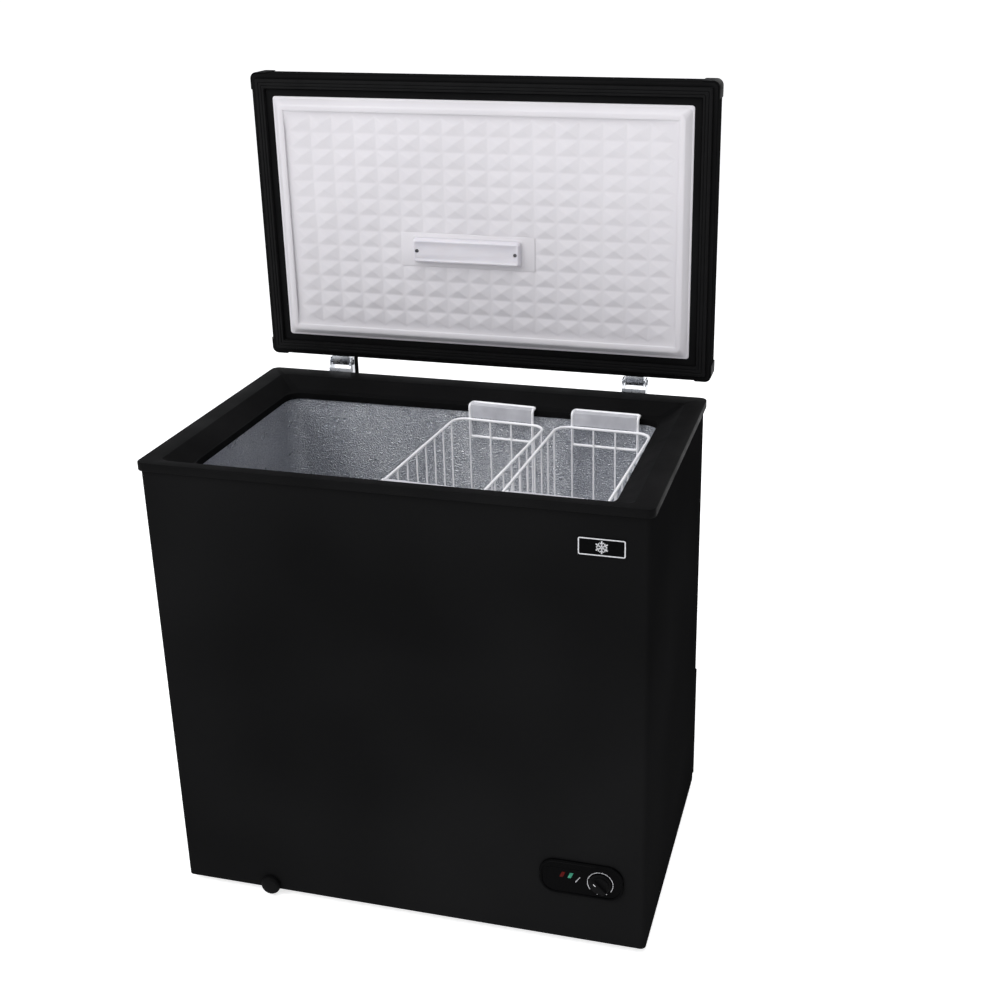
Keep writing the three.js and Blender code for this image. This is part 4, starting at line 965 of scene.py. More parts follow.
# %% Make the seal
seal_plan, seal_low, seal_high = shut_plan("lid_gasket")
seal_in = lid_plan[1] - seal_plan[1]
SEAL_WIDTH = 17 * MM
seal_out = seal_in + SEAL_WIDTH
crease_z = seal_low + 1.3 * MM
seal_section = [
    (seal_in, seal_high), (seal_in, lid_plane - 0.6 * MM), (seal_in + 1.8 * MM, lid_plane - 2.2 * MM),
    (seal_in + 0.4 * MM, lid_plane - 3.4 * MM), (seal_in + 0.9 * MM, seal_low),
    (seal_in + 5.6 * MM, seal_low), (seal_in + 6.3 * MM, crease_z), (seal_in + 7.0 * MM, seal_low),
    (seal_in + 11.2 * MM, seal_low), (seal_in + 11.9 * MM, crease_z), (seal_in + 12.6 * MM, seal_low),
    (seal_out - 0.9 * MM, seal_low), (seal_out - 0.4 * MM, lid_plane - 3.4 * MM),
    (seal_out - 1.8 * MM, lid_plane - 2.2 * MM), (seal_out, lid_plane - 0.6 * MM),
    (seal_out, seal_high)]
bm = section_ring(seal_section, lambda inset: 2.5 * MM)
soften(bm, 0.35 * MM, 2, 20)
place("lid_seal", moved(bm, open_lid), "lid", "black_rubber", vinyl, ["lid_gasket"])
print("seal stands", round((lid_plane - seal_low) * 1000, 1), "mm proud of the frame")

# %% [markdown]
# ## White liner
# The liner is one vacuum-formed sheet: a thin flange, a bank up to a flat border with a fine raised
# line, and a field of seventeen by thirteen shallow pyramids. A grid is poked, which raises one
# point in the middle of each cell, and the ridges are then softened, because formed plastic has no
# sharp edges. The cells under the lamp stay flat.

# %% Form the liner
COLUMNS = 17
ROWS = 13
FIRST_COLUMN = 5
LAMP_COLUMNS = 6
FIRST_ROW = 4
LAMP_ROWS = 2
BANK = 13 * MM
FIELD_IN = 70 * MM
plateau = shut_plan("lid_inner_panel")[1]
PYRAMID = 4 * MM
field_floor = plateau + PYRAMID
LINER_WALL = 1.6 * MM
RIDGE_ROUND = 2.2 * MM
field_box = inset_box(lid_plan, FIELD_IN)
cell_x = (field_box[1] - field_box[0]) / COLUMNS
cell_y = (field_box[3] - field_box[2]) / ROWS
lamp_box = (
    field_box[0] + FIRST_COLUMN * cell_x, field_box[0] + (FIRST_COLUMN + LAMP_COLUMNS) * cell_x,
    field_box[3] - (FIRST_ROW + LAMP_ROWS) * cell_y, field_box[3] - FIRST_ROW * cell_y)

bm = bmesh.new()
bmesh.ops.create_grid(bm, x_segments=COLUMNS, y_segments=ROWS, size=0.5)
bmesh.ops.scale(
    bm, vec=(field_box[1] - field_box[0], field_box[3] - field_box[2], 1), verts=bm.verts)
bmesh.ops.translate(
    bm, vec=((field_box[0] + field_box[1]) / 2, (field_box[2] + field_box[3]) / 2, field_floor),
    verts=bm.verts)


def under_lamp(face):
    c = face.calc_center_median()
    return lamp_box[0] < c.x < lamp_box[1] and lamp_box[2] < c.y < lamp_box[3]


bmesh.ops.reverse_faces(bm, faces=bm.faces)
raised = [f for f in bm.faces if not under_lamp(f)]
bmesh.ops.poke(bm, faces=raised, offset=PYRAMID)
flat = [f for f in bm.faces if under_lamp(f) and len(f.verts) == 4]
bmesh.ops.dissolve_faces(bm, faces=flat)
bmesh.ops.bevel(
    bm, geom=[e for e in bm.edges if len(e.link_faces) == 2 and e.calc_face_angle(0) > 0.05],
    offset=RIDGE_ROUND, offset_type="OFFSET", segments=3, profile=0.5, affect="EDGES",
    clamp_overlap=True, material=-1)
field_edge = [e for e in bm.edges if e.is_boundary]
print("pyramid faces", len(bm.faces), "edge pieces", len(field_edge))

# %% Add the liner's border, bank and flange
BAND_EDGE = 62.2 * MM
bmesh.ops.extrude_edge_only(bm, edges=field_edge)
band_verts = list({v for e in bm.edges if e.is_boundary for v in e.verts})
band_box = inset_box(lid_plan, BAND_EDGE)
field_middle = Vector(((field_box[0] + field_box[1]) / 2, (field_box[2] + field_box[3]) / 2, 0))
widen = Vector((
    (band_box[1] - band_box[0]) / (field_box[1] - field_box[0]),
    (band_box[3] - band_box[2]) / (field_box[3] - field_box[2]), 1))
bmesh.ops.scale(bm, vec=widen, space=Matrix.Translation(-field_middle), verts=band_verts)
bmesh.ops.translate(bm, vec=(0, 0, plateau + 0.9 * MM - field_floor), verts=band_verts)
bmesh.ops.solidify(bm, geom=bm.faces, thickness=LINER_WALL)
bmesh.ops.recalc_face_normals(bm, faces=bm.faces)

border_section = [
    (62.6 * MM, plateau + 1.2 * MM, 1.5 * MM), (62.0 * MM, plateau + 0.3 * MM, 1.5 * MM),
    (61.5 * MM, plateau, 2 * MM), (LINER_EDGE + BANK + 2 * MM, plateau, 10 * MM),
    (LINER_EDGE + BANK + 0.6 * MM, plateau + 0.25 * MM, 11 * MM),
    (LINER_EDGE + BANK - 0.6 * MM, plateau + 1.2 * MM, 12 * MM),
    (43.4 * MM, lid_plane - 1.6 * MM, 8 * MM), (42.4 * MM, lid_plane - 0.4 * MM, 7 * MM),
    (41.2 * MM, lid_plane, 7 * MM), (LINER_EDGE + 0.5 * MM, lid_plane, 5 * MM),
    (LINER_EDGE, lid_plane + 0.5 * MM, 5 * MM), (LINER_EDGE, lid_plane + LINER_WALL, 5 * MM),
    (44.0 * MM, lid_plane + LINER_WALL, 7 * MM), (54.0 * MM, plateau + 2.4 * MM, 10 * MM),
    (62.6 * MM, plateau + 2.4 * MM, 1.5 * MM)]
border = bmesh.new()
stack(border, [(inset_box(lid_plan, inset), z, radius) for inset, z, radius in border_section],
      closed=True, steps=5)
bm = merged(bm, border)
place(
    "lid_liner", moved(bm, open_lid), "lid", "white_plastic", polystyrene, ["lid_inner_panel"], 50)
print("liner cells of", round(cell_x * 1000, 1), "by", round(cell_y * 1000, 1), "mm")

# %% [markdown]
# ## Corner caps
# Each corner of the lid is wrapped in a black plastic cap that stands a little proud of the steel.
# A ring that follows the corner is cut down to one quarter, and its edges are rounded.

# %% Mould the corner caps
cap_plan, cap_low, cap_high = shut_plan("lid_cap_front_left")
cap_size = cap_plan[1] - cap_plan[0]
cap_proud = lid_plan[0] - cap_plan[0]
cap_outer = inset_box(lid_plan, -cap_proud)
cap_inner = inset_box(lid_plan, -0.3 * MM)
for name, x_side, y_side in (
        ("front_left", 0, 2), ("front_right", 1, 2), ("rear_left", 0, 3), ("rear_right", 1, 3)):
    ring = bmesh.new()
    stack(ring, [
        (cap_outer, cap_low, LID_CORNER + cap_proud),
        (cap_outer, cap_high, LID_CORNER + cap_proud),
        (cap_inner, cap_high, LID_CORNER + 0.3 * MM),
        (cap_inner, cap_low, LID_CORNER + 0.3 * MM)], closed=True)
    x_end = cap_outer[x_side]
    y_end = cap_outer[y_side]
    x_in = x_end + (cap_size if x_side == 0 else -cap_size)
    y_in = y_end + (cap_size if y_side == 2 else -cap_size)
    corner = block(min(x_end, x_in), max(x_end, x_in), min(y_end, y_in), max(y_end, y_in), -1, 1)
    ring = carve(ring, [corner], "INTERSECT")
    soften(ring, 0.45 * MM, 2, 40)
    place(
        f"corner_cap_{name}", moved(ring, open_lid), "lid", "black_plastic", moulding,
        [f"lid_cap_{name}"])
print("caps reach", round(cap_size * 1000, 1), "mm from each corner")

# %% [markdown]
# ## Lid lamp
# The lamp sits on a flat plate between the pyramids. Its base is a shallow frame, and the milky lens
# is a shallow tray with drawn-in sides, held by two small screws in round recesses.

# %% Build the lamp
base_plan, base_low, base_high = shut_plan("lamp_base")
lens_plan, lens_low, lens_high = shut_plan("lamp_lens")
plate_box = inset_box(lamp_box, -1.5 * MM)
bm = block(*plate_box, base_low + 0.9 * MM, base_high)
soften(bm, 0.8 * MM, 3, 60)
place("lamp_plate", moved(bm, open_lid), "lid", "white_plastic", polystyrene)

bm = bmesh.new()
base_loops = [
    (base_plan, base_high, 4 * MM), (base_plan, base_low + 0.5 * MM, 4 * MM),
    (inset_box(base_plan, 0.5 * MM), base_low, 3.5 * MM)]
stack(bm, base_loops, capped=True)
place("lamp_frame", moved(bm, open_lid), "lid", "white_plastic", polystyrene, ["lamp_base"])

bm = bmesh.new()
lens_loops = [
    (lens_plan, lens_high, 5 * MM), (lens_plan, lens_high - 1.5 * MM, 5 * MM),
    (inset_box(lens_plan, 2.2 * MM), lens_low + 1.6 * MM, 5 * MM),
    (inset_box(lens_plan, 2.8 * MM), lens_low + 0.5 * MM, 4.6 * MM),
    (inset_box(lens_plan, 4.0 * MM), lens_low, 4 * MM),
    (inset_box(lens_plan, 6.0 * MM), lens_low, 3 * MM),
    (inset_box(lens_plan, 6.6 * MM), lens_low + 0.5 * MM, 3 * MM)]
stack(bm, lens_loops, capped=True)
screw_places = []
for i in (1, 2):
    (x0, x1, y0, y1), screw_face, _ = shut_plan(f"lamp_screw_{i}")
    screw_places.append(((x0 + x1) / 2, (y0 + y1) / 2, screw_face))
recesses = [drill(3.6 * MM, (x, y, lens_low), "z", 5 * MM, 24) for x, y, _ in screw_places]
bm = carve(bm, recesses)
place("lamp_lens_moulding", moved(bm, open_lid), "lid", "frosted_lens", milky_lens, ["lamp_lens"], 40)
print("lens", round(lens_plan[1] - lens_plan[0], 3), "by", round(lens_plan[3] - lens_plan[2], 3))

# %% Drive the lamp's screws
SLOT_HALF = 0.35 * MM
SLOT_REACH = 2.2 * MM
for i, (x, y, face_z) in enumerate(screw_places, 1):
    head = turned([(0, 0), (2.0 * MM, 0.1 * MM), (2.9 * MM, 0.9 * MM), (3.1 * MM, 2 * MM), (0, 2 * MM)], 24)
    head = carve(head, [
        block(-SLOT_REACH, SLOT_REACH, -SLOT_HALF, SLOT_HALF, -1 * MM, 1 * MM),
        block(-SLOT_HALF, SLOT_HALF, -SLOT_REACH, SLOT_REACH, -1 * MM, 1 * MM)])
    moved(head, Matrix.Translation((x, y, face_z)) @ Matrix.Rotation(math.radians(25 * i), 4, "Z"))
    place(f"lens_screw_{i}", moved(head, open_lid), "lid", "zinc_steel", screw_steel, [f"lamp_screw_{i}"])
print("screws", len(screw_places))

# %% [markdown]
# ## Hinges
# Each hinge is pressed steel: a bracket with two cheeks on the cabinet, a leaf on the lid, a headed
# pin and a spring. The parts' shapes are already right, so merged copies only get the small edge
# rounds that pressing leaves. The pins are turned again, because a round part needs more facets.

# %% Press the hinges
PIN_RADIUS = 3 * MM
for side in ("left", "right"):
    for node, body, width in (
            (f"hinge_bracket_{side}", "cabinet", 0.35 * MM), (f"hinge_leaf_{side}", "lid", 0.35 * MM),
            (f"hinge_spring_{side}", "cabinet", 0.15 * MM)):
        bm = softened_copy(node, width)
        place(f"{node}_pressed", bm, body, "zinc_steel", zinc, [node])
    low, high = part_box(f"hinge_pin_{side}")
    half = (high.x - low.x) / 2
    head = (high.z - low.z) / 2
    bm = turned([
        (0, -half), (head - 0.8 * MM, -half), (head, -half + 0.8 * MM), (head, -half + 2.2 * MM),
        (PIN_RADIUS, -half + 2.2 * MM), (PIN_RADIUS, half - 2.2 * MM), (head, half - 2.2 * MM),
        (head, half - 0.8 * MM), (head - 0.8 * MM, half), (0, half)], 32)
    moved(bm, Matrix.Translation(middle(low, high)) @ Matrix.Rotation(math.pi / 2, 4, "Y"))
    place(f"hinge_pin_{side}_turned", bm, "cabinet", "zinc_steel", zinc, [f"hinge_pin_{side}"])
print("hinge pins at z", round(pin.z, 3))

# %% [markdown]
# ## Lamp lead
# A short black lead runs from the cabinet's back up into the lid beside the left hinge, and carries
# the lamp's current. It crosses the hinge, so it rides on neither body, and its rise is cut into short rows.

# %% Run the lead
lead_low, lead_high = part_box("lamp_lead")
grommet_low, grommet_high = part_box("lead_grommet")
lead_radius = (lead_high.x - lead_low.x) / 2
lead_x = (lead_low.x + lead_high.x) / 2
exit_z = (grommet_low.z + grommet_high.z) / 2
lead_y = lead_high.y - lead_radius
LEAD_BEND = 13.5 * MM
bm = bent_wire(
    [([(lead_x, lead_low.y, exit_z), (lead_x, lead_y, exit_z), (lead_x, lead_y, lead_high.z)], False)],
    lead_radius, LEAD_BEND, 4, 8)
rows = 24
for i in range(1, rows):
    z = exit_z + LEAD_BEND + (lead_high.z - exit_z - LEAD_BEND) * i / rows
    bmesh.ops.bisect_plane(
        bm, geom=[*bm.verts, *bm.edges, *bm.faces], plane_co=(0, 0, z), plane_no=(0, 0, 1), dist=1e-6)
lead = place("lamp_lead_cable", bm, None, "black_rubber", vinyl, ["lamp_lead"])
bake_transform(lead)

outer_r = (grommet_high.x - grommet_low.x) / 2
depth = grommet_high.y - grommet_low.y
bm = turned([
    (lead_radius, 0), (outer_r, 0), (outer_r, depth - 1 * MM), (outer_r - 0.8 * MM, depth),
    (lead_radius + 0.6 * MM, depth), (lead_radius, depth - 0.5 * MM), (lead_radius, 0)], 32)
moved(bm, Matrix.Translation((lead_x, grommet_low.y, exit_z)) @ Matrix.Rotation(-math.pi / 2, 4, "X"))
place("lead_bush", bm, "cabinet", "black_rubber", vinyl, ["lead_grommet"])
print("lead thickness", round(lead_radius * 2000, 1), "mm")

# %% [markdown]
# ## Control panel
# A glossy black plate with round ends sits low on the front. It is dished inside a rim, and carries
# a thin raised line, two slanted pilot windows, a short pale stroke and a dial printed round the
# knob. Flat prints could be painted in the finish, but thin raised shapes keep a crisp edge.

# %% Mould the panel plate
PANEL_RIM = 5 * MM
DISH = 1.5 * MM
panel = middle(bezel_low, bezel_high)
upright = Matrix.Rotation(math.pi / 2, 4, "X")
knob_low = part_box("thermostat_knob")[0]
knob_joint = next(j for j in frame["joints"] if j["name"] == "thermostat_turn")
knob_axis = Vector(knob_joint["pos_m"])


def front_piece(bm, y_front):
    """Stands a piece that was drawn lying down, face up at z = 0, on the front at y_front."""
    return moved(bm, Matrix.Translation((0, y_front, 0)) @ upright)


half_tall = (bezel_high.z - bezel_low.z) / 2
plate_plan = (bezel_low.x, bezel_high.x, bezel_low.z, bezel_high.z)
thick = bezel_high.y - bezel_low.y
corner_r = half_tall * 0.8
bm = bmesh.new()
plate_loops = [
    (plate_plan, -thick, corner_r),
    (plate_plan, -1.2 * MM, corner_r),
    (inset_box(plate_plan, 0.5 * MM), -0.4 * MM, corner_r - 0.5 * MM),
    (inset_box(plate_plan, 1.6 * MM), 0, corner_r - 1.6 * MM),
    (inset_box(plate_plan, PANEL_RIM - 1.4 * MM), 0, corner_r - PANEL_RIM + 1.4 * MM),
    (inset_box(plate_plan, PANEL_RIM - 0.4 * MM), -0.5 * MM, corner_r - PANEL_RIM + 0.4 * MM),
    (inset_box(plate_plan, PANEL_RIM), -DISH, corner_r - PANEL_RIM)]
stack(bm, plate_loops, capped=True, steps=12)
shaft_hole = drill(4 * MM, (knob_axis.x, knob_axis.z, -thick / 2), "z", 0.02)
bm = carve(bm, [shaft_hole])
place(
    "control_plate", front_piece(bm, bezel_low.y), "cabinet", "black_plastic", gloss_black,
    ["control_bezel"], 30)
dish_y = bezel_low.y + DISH
print("panel", round(plate_plan[1] - plate_plan[0], 3), "by", round(half_tall * 2, 3))

# %% Set the pilot windows
LEAN = 0.42


def slanted_window(node):
    """A window that leans to the right, with a rounded face."""
    low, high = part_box(node)
    w = (high.x - low.x) / 2 - 0.3 * MM
    h = (high.z - low.z) / 2 - 0.4 * MM
    bm = block(-w, w, -h, h, -2 * MM, 0.55 * MM)
    soften(bm, 0.5 * MM, 3, 60)
    lean = Matrix.Identity(4)
    lean[0][1] = LEAN
    moved(bm, lean)
    centre = middle(low, high)
    moved(bm, Matrix.Translation((centre.x, centre.z, 0)))
    return front_piece(bm, dish_y)


for colour, node, glass in (
        ("red", "power_lamp_red", red_window), ("green", "run_lamp_green", green_window)):
    place(f"pilot_window_{colour}", slanted_window(node), "cabinet", f"{colour}_lens", glass, [node])
print("windows lean by", LEAN)

# %% Draw the raised line and the stroke
LINE_WIRE = 0.45 * MM
STROKE_WIRE = 0.6 * MM
left = plate_plan[0] + 12 * MM
top_line = panel.z + 17 * MM
foot_line = panel.z - 8 * MM
swoosh = [
    (panel.x - 4 * MM, dish_y, panel.z + 2 * MM), (panel.x + 5 * MM, dish_y, top_line),
    (left, dish_y, top_line), (left, dish_y, foot_line)]
place(
    "panel_line", bent_wire([(swoosh, False)], LINE_WIRE, 7 * MM, 2, 8), "cabinet", "black_plastic",
    gloss_black)
stroke = [(panel.x - 9 * MM, dish_y, panel.z - 6 * MM), (panel.x - 1.5 * MM, dish_y, panel.z + 5 * MM)]
place(
    "panel_stroke", bent_wire([(stroke, False)], STROKE_WIRE, 1 * MM, 2, 8), "cabinet",
    "black_plastic", print_white)
print("line and stroke at y", round(dish_y, 4))

# %% Print the dial round the knob
DIAL_RADIUS = 21.3 * MM
DIAL_LINE = 0.9 * MM
DIAL_PROUD = 0.12 * MM
DIAL_SWEEP = (-130, -78, -34, 2, 40, 88, 128)  # degrees from the top, clockwise
GAP = 3.2  # degrees
DOTS = (150, 166, 194)
DOT_RADIUS = 0.75 * MM


def dial_arc(start, end):
    """A thin raised arc round the knob's axis, from start to end degrees."""
    bm = bmesh.new()
    inner_r = DIAL_RADIUS - DIAL_LINE / 2
    outer_r = DIAL_RADIUS + DIAL_LINE / 2
    points = [bm.verts.new((*spoke(r, 90 - start), z)) for r, z in (
        (inner_r, -DIAL_PROUD), (outer_r, -DIAL_PROUD), (outer_r, DIAL_PROUD), (inner_r, DIAL_PROUD))]
    face = bm.faces.new(points)
    steps = max(4, round((end - start) / 4))
    bmesh.ops.spin(
        bm, geom=[face], cent=(0, 0, 0), axis=(0, 0, 1), angle=-math.radians(end - start), steps=steps,
        use_merge=False)
    bmesh.ops.recalc_face_normals(bm, faces=bm.faces)
    return bm


arcs = [dial_arc(a + GAP / 2, b - GAP / 2) for a, b in zip(DIAL_SWEEP, DIAL_SWEEP[1:])]
dots = [
    drill(DOT_RADIUS, (*spoke(DIAL_RADIUS, 90 - angle), 0), "z", 2 * DIAL_PROUD, 16)
    for angle in DOTS]
bm = merged(*arcs, *dots)
moved(bm, Matrix.Translation((knob_axis.x, knob_axis.z, 0)))
place("dial_ring", front_piece(bm, dish_y), "cabinet", "black_plastic", print_white)
print("dial arcs", len(arcs), "dots", len(dots))

# %% [markdown]
# ## Thermostat knob
# The knob is turned, and two cuts leave a finger bar across its face with a white pointer at one
# end. Its skirt has fine grip ribs. It stands at rest turned to the left of the top.

# %% Turn the knob
KNOB_RADIUS = 15.5 * MM
SKIRT_RADIUS = 18.3 * MM
SETTING = math.radians(45)
BAR = 4.2 * MM
GRIP_RIBS = 36
tall = 14 * MM
profile = [
    (0, 0), (SKIRT_RADIUS, 0), (SKIRT_RADIUS, 1.4 * MM), (SKIRT_RADIUS - 0.8 * MM, 2.2 * MM),
    (KNOB_RADIUS, 2.8 * MM), (KNOB_RADIUS - 1.2 * MM, tall - 2.0 * MM),
    (KNOB_RADIUS - 1.8 * MM, tall - 0.7 * MM), (KNOB_RADIUS - 3.2 * MM, tall), (0, tall)]
body = turned(profile, 64)
sides = []
for sign in (-1, 1):
    slab = block(-0.02, 0.02, BAR * sign, 0.02 * sign, tall - 7 * MM, tall + 1 * MM)
    if sign < 0:
        bmesh.ops.reverse_faces(slab, faces=slab.faces)
    soften(slab, 1.2 * MM, 3, 60)
    bmesh.ops.recalc_face_normals(slab, faces=slab.faces)
    sides.append(slab)
ribs = [
    drill(0.5 * MM, (*spoke(SKIRT_RADIUS, 360 * i / GRIP_RIBS), 0.8 * MM), "z", 4 * MM, 10)
    for i in range(GRIP_RIBS)]
body = carve(body, sides + ribs)
soften(body, 0.25 * MM, 2, 50)
knob_place = Matrix.Translation((knob_axis.x, knob_low.y + tall, knob_axis.z)) @ upright
turn = Matrix.Rotation(SETTING + math.pi / 2, 4, "Z")
moved(body, knob_place @ turn)
place("knob_cap", body, "knob", "black_plastic", moulding, ["thermostat_knob"], 35)
print("knob axis x", round(knob_axis.x, 4), "z", round(knob_axis.z, 4))

# %% Inlay the pointer
mark = block(6.5 * MM, 12.2 * MM, -0.7 * MM, 0.7 * MM, tall - 0.3 * MM, tall + 0.02 * MM)
soften(mark, 0.12 * MM, 2, 60)
place("knob_pointer", moved(mark, knob_place @ turn), "knob", "black_plastic", print_white)
print("pointer turned", round(math.degrees(SETTING)), "degrees to the left of the top")

# %% [markdown]
# ## Badge
# The badge is a small glossy plate with round corners and a pale outline. It carries a plain
# snowflake, the usual sign for cold: six arms, each with two small branches, made by turning one
# arm six times.

# %% Make the badge
badge_low, badge_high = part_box("badge_plate")
badge_plan = (badge_low.x, badge_high.x, badge_low.z, badge_high.z)
badge_thick = badge_high.y - badge_low.y
bm = bmesh.new()
badge_loops = [
    (badge_plan, -badge_thick, 3.5 * MM), (badge_plan, -0.4 * MM, 3.5 * MM),
    (inset_box(badge_plan, 0.4 * MM), -0.1 * MM, 3.1 * MM)]
stack(bm, badge_loops, capped=True)
place(
    "badge_body", front_piece(bm, badge_low.y), "cabinet", "black_plastic", gloss_black,
    ["badge_plate"])
print("badge", round(badge_plan[1] - badge_plan[0], 3), "by", round(badge_plan[3] - badge_plan[2], 3))

# %% Inlay the outline and the snowflake
INLAY_LOW = -0.3 * MM
INLAY_FACE = -0.02 * MM
outline_out = inset_box(badge_plan, 0.5 * MM)
outline_in = inset_box(badge_plan, 2.3 * MM)
bm = bmesh.new()
stack(bm, [
    (outline_out, INLAY_LOW, 3.0 * MM), (outline_out, INLAY_FACE, 3.0 * MM),
    (outline_in, INLAY_FACE, 1.7 * MM), (outline_in, INLAY_LOW, 1.7 * MM)], closed=True)
place("badge_outline", front_piece(bm, badge_low.y), "cabinet", "black_plastic", print_white)

ARM = 10.4 * MM
STROKE = 0.95 * MM
TWIG = 4.2 * MM
TWIG_AT = 5.0 * MM
arms = []
for i in range(6):
    turn_arm = Matrix.Rotation(math.pi / 3 * i, 4, "Z")
    arm = block(-STROKE, STROKE, 0, ARM, INLAY_LOW, INLAY_FACE)
    twigs = [moved(
        block(-STROKE * 0.8, STROKE * 0.8, 0, TWIG, INLAY_LOW, INLAY_FACE),
        Matrix.Translation((0, TWIG_AT, 0)) @ Matrix.Rotation(math.radians(s * 52), 4, "Z"))
        for s in (-1, 1)]
    arms.append(moved(merged(arm, *twigs), turn_arm))
badge = middle(badge_low, badge_high)
bm = moved(merged(*arms), Matrix.Translation((badge.x, badge.z, 0)))
place("badge_snowflake", front_piece(bm, badge_low.y), "cabinet", "black_plastic", print_white)
print("snowflake", round(ARM * 2000, 1), "mm across")

# %% [markdown]
# ## Drain plug and feet
# Both are turned parts. The plug has a domed face, a grip rim and a stem that fits the drain tube.
# The feet are soft rubber pucks with a rounded tread.

# %% Turn the plug
plug_radius = (plug_high.x - plug_low.x) / 2
plug_depth = plug_high.y - plug_low.y
STEM = 5.7 * MM
CAP_DEPTH = 9 * MM
bm = turned([
    (0, 0), (plug_radius - 5 * MM, 0.15 * MM), (plug_radius - 3.4 * MM, 0.5 * MM),
    (plug_radius - 1.4 * MM, 1.8 * MM), (plug_radius - 0.3 * MM, 3.6 * MM), (plug_radius, 5 * MM),
    (plug_radius, CAP_DEPTH - 0.8 * MM), (plug_radius - 0.8 * MM, CAP_DEPTH), (STEM, CAP_DEPTH),
    (STEM, plug_depth - 2 * MM), (STEM - 1.5 * MM, plug_depth), (0, plug_depth)], 56)
PLUG_GRIPS = 28
bm = carve(bm, [
    drill(0.7 * MM, (*spoke(plug_radius + 0.2 * MM, 360 * i / PLUG_GRIPS), 7 * MM), "z", 5 * MM, 8)
    for i in range(PLUG_GRIPS)])
moved(bm, Matrix.Translation((drain_centre.x, plug_low.y, drain_centre.z)) @ Matrix.Rotation(
    -math.pi / 2, 4, "X"))
place("drain_cap", bm, "plug", "black_plastic", moulding, ["drain_plug"], 35)
print("plug radius", round(plug_radius * 1000, 1), "mm")

# %% Turn the feet
for name in ("foot_front_left", "foot_front_right", "foot_rear_left", "foot_rear_right"):
    low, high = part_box(name)
    r = (high.x - low.x) / 2
    h = high.z - low.z
    bm = turned([
        (0, 0.4 * MM), (r * 0.35, 0.4 * MM), (r * 0.45, 0), (r - 2.5 * MM, 0), (r - 0.8 * MM, 0.6 * MM),
        (r, 2.2 * MM), (r - 1.2 * MM, h * 0.6), (r - 2 * MM, h), (0, h)], 40)
    centre = middle(low, high)
    moved(bm, Matrix.Translation((centre.x, centre.y, low.z)))
    place(f"{name}_puck", bm, "cabinet", "black_rubber", vinyl, [name], 35)
print("feet stand", round(h * 1000, 1), "mm tall")

# %% [markdown]
# ## Back of the cabinet
# The back is a flat steel sheet, held by small screws
# along its edges. Low on the right a louvred grille lets air through the machine bay.

# %% Press the back sheet
back_low, back_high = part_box("rear_panel")
grille_low, grille_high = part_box("bay_grille")
vent = block(
    grille_low.x + 14 * MM, grille_high.x - 14 * MM, back_low.y - 0.01, back_high.y + 0.01,
    grille_low.z + 10 * MM, grille_high.z - 10 * MM)
lead_hole = drill(lead_radius + 3 * MM, (lead_x, back_low.y, exit_z), "y", 0.03)
bm = block(back_low.x, back_high.x, back_high.y - SHEET, back_high.y, back_low.z, back_high.z)
bm = carve(bm, [vent, lead_hole])
place("back_sheet", bm, "cabinet", "black_paint", enamel, ["rear_panel"])

screws = [
    (x, z) for z in (back_low.z + 0.03, (back_low.z + back_high.z) / 2, back_high.z - 0.09)
    for x in (back_low.x + 0.014, back_high.x - 0.014)]
heads = []
for x, z in screws:
    head = turned([(0, 0), (4 * MM, 0), (4 * MM, 0.7 * MM), (2.6 * MM, 1.7 * MM), (0, 2.1 * MM)], 20)
    slot = block(-2.4 * MM, 2.4 * MM, -0.4 * MM, 0.4 * MM, 1.1 * MM, 3 * MM)
    head = carve(head, [slot])
    heads.append(moved(
        head, Matrix.Translation((x, back_high.y, z)) @ Matrix.Rotation(-math.pi / 2, 4, "X")))
place("back_screws", merged(*heads), "cabinet", "zinc_steel", zinc, smooth=35)
print("back screws", len(screws))

# %% Mould the grille
FIRST_SLOT = 54 * MM
PITCH = 17 * MM
SLOT_TALL = 7 * MM
SLOT_MARGIN = 20 * MM
bm = block(grille_low.x, grille_high.x, grille_low.y, grille_high.y, grille_low.z, grille_high.z)
slots = []
middle_x = (grille_low.x + grille_high.x) / 2
columns = (
    (grille_low.x + SLOT_MARGIN, middle_x - 5 * MM), (middle_x + 5 * MM, grille_high.x - SLOT_MARGIN))
for i in range(int((grille_high.z - grille_low.z - 60 * MM) / PITCH)):
    z = grille_low.z + FIRST_SLOT + i * PITCH
    for x0, x1 in columns:
        slot = block(x0, x1, grille_low.y - 0.01, grille_high.y + 0.01, z, z + SLOT_TALL)
        soften(slot, 2.2 * MM, 3, 60, lambda e: abs((e.verts[0].co - e.verts[1].co).y) > 0.005)
        slots.append(slot)
bm = carve(bm, slots)
soften(bm, 0.5 * MM, 2, 50)
place("grille_moulding", bm, "cabinet", "black_plastic", moulding, ["bay_grille"])
print("grille slots", len(slots))

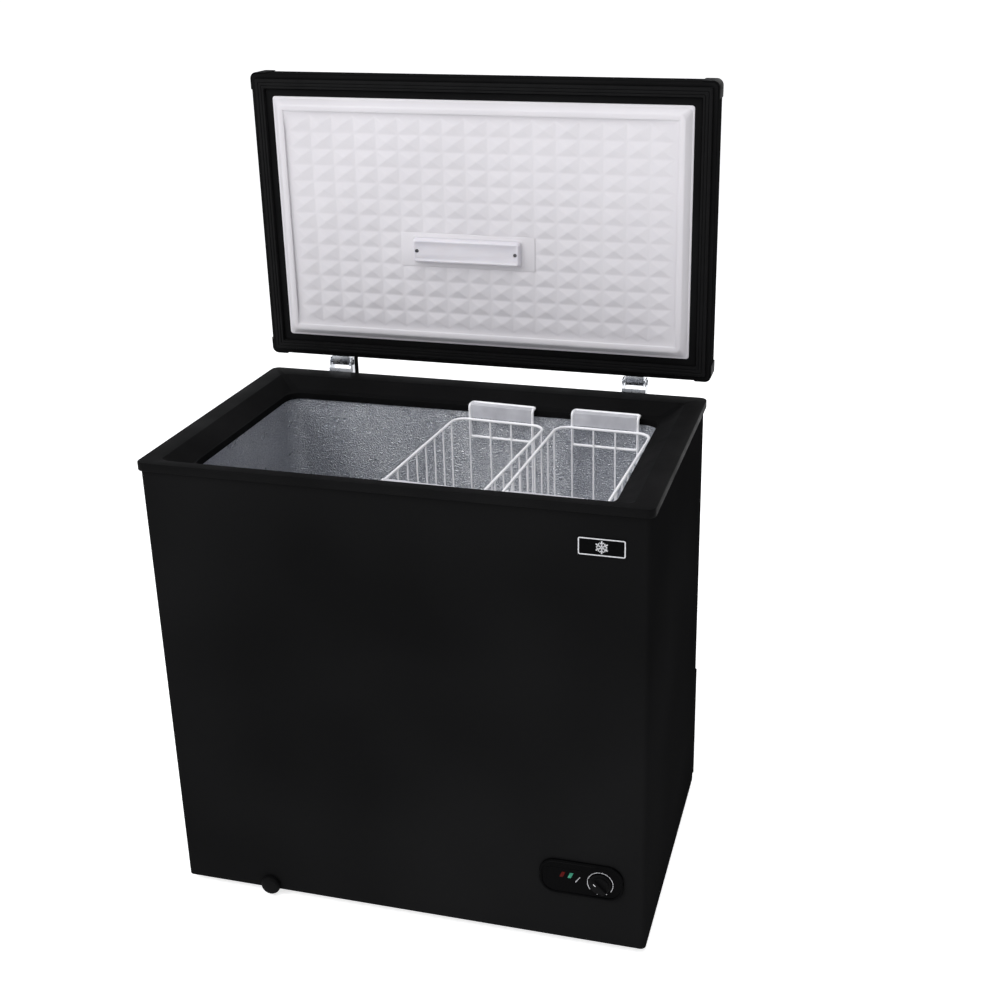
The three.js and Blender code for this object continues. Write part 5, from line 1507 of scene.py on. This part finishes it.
# %% Turn the cord's gland
gland_low, gland_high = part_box("cord_gland")
gland_r = (gland_high.x - gland_low.x) / 2
gland_deep = gland_high.y - gland_low.y
bm = turned([
    (0, 0), (gland_r, 0), (gland_r, 2.2 * MM), (gland_r - 0.8 * MM, 3 * MM), (7.5 * MM, 4.2 * MM),
    (7.2 * MM, 5.6 * MM), (6.4 * MM, 6.2 * MM), (7.0 * MM, 7.0 * MM), (6.9 * MM, 8.2 * MM),
    (6.1 * MM, 8.8 * MM), (6.5 * MM, 9.6 * MM), (6.2 * MM, gland_deep - 0.8 * MM),
    (5.4 * MM, gland_deep), (3.6 * MM, gland_deep), (3.3 * MM, gland_deep - 3 * MM),
    (0, gland_deep - 3 * MM)], 40)
gland = middle(gland_low, gland_high)
moved(bm, Matrix.Translation((gland.x, gland_low.y, gland.z)) @ Matrix.Rotation(-math.pi / 2, 4, "X"))
place("inlet_gland", bm, "cabinet", "black_rubber", vinyl, ["cord_gland"], 35)
print("gland", round(gland_deep * 1000, 1), "mm deep")

# %% [markdown]
# ## Machine bay
# The compressor shows faintly through the grille. Its two pressed halves meet at a rolled seam. The
# frame's own parts already have that shape, so merged copies only get their edges rounded.

# %% Dress the machine bay
bay = (
    ("compressor", 1.0 * MM, "compressor_paint", compressor_enamel),
    ("start_relay_box", 1.5 * MM, "black_plastic", moulding),
    ("compressor_mount", 0.4 * MM, "zinc_steel", zinc))
for node, width, slot, coat in bay:
    place(f"{node}_finished", softened_copy(node, width, 2, 32), "cabinet", slot, coat, [node], 40)
print("parts dressed in the machine bay", len(bay))

# %% [markdown]
# ## Floor
# The floor is a plain pale sheet, far larger than the view, so that its edges stay out of the way. It
# glows a little, which leaves only a faint shadow where the freezer stands.

# %% Lay the floor
floor_paint = finish("studio_floor", (0.86, 0.86, 0.865), 0.7, 0.0, 0.1)
set_shader(floor_paint, Emission_Color=(1, 1, 1, 1), Emission_Strength=0.72)
FLOOR_HALF = 30
bm = bmesh.new()
bmesh.ops.create_grid(bm, x_segments=1, y_segments=1, size=FLOOR_HALF)
floor_mesh = bpy.data.meshes.new("studio_floor")
bm.to_mesh(floor_mesh)
bm.free()
floor_mesh.materials.append(floor_paint)
floor = bpy.data.objects.new("studio_floor", floor_mesh)
bpy.context.scene.collection.objects.link(floor)
print("floor side", 2 * FLOOR_HALF, "m")
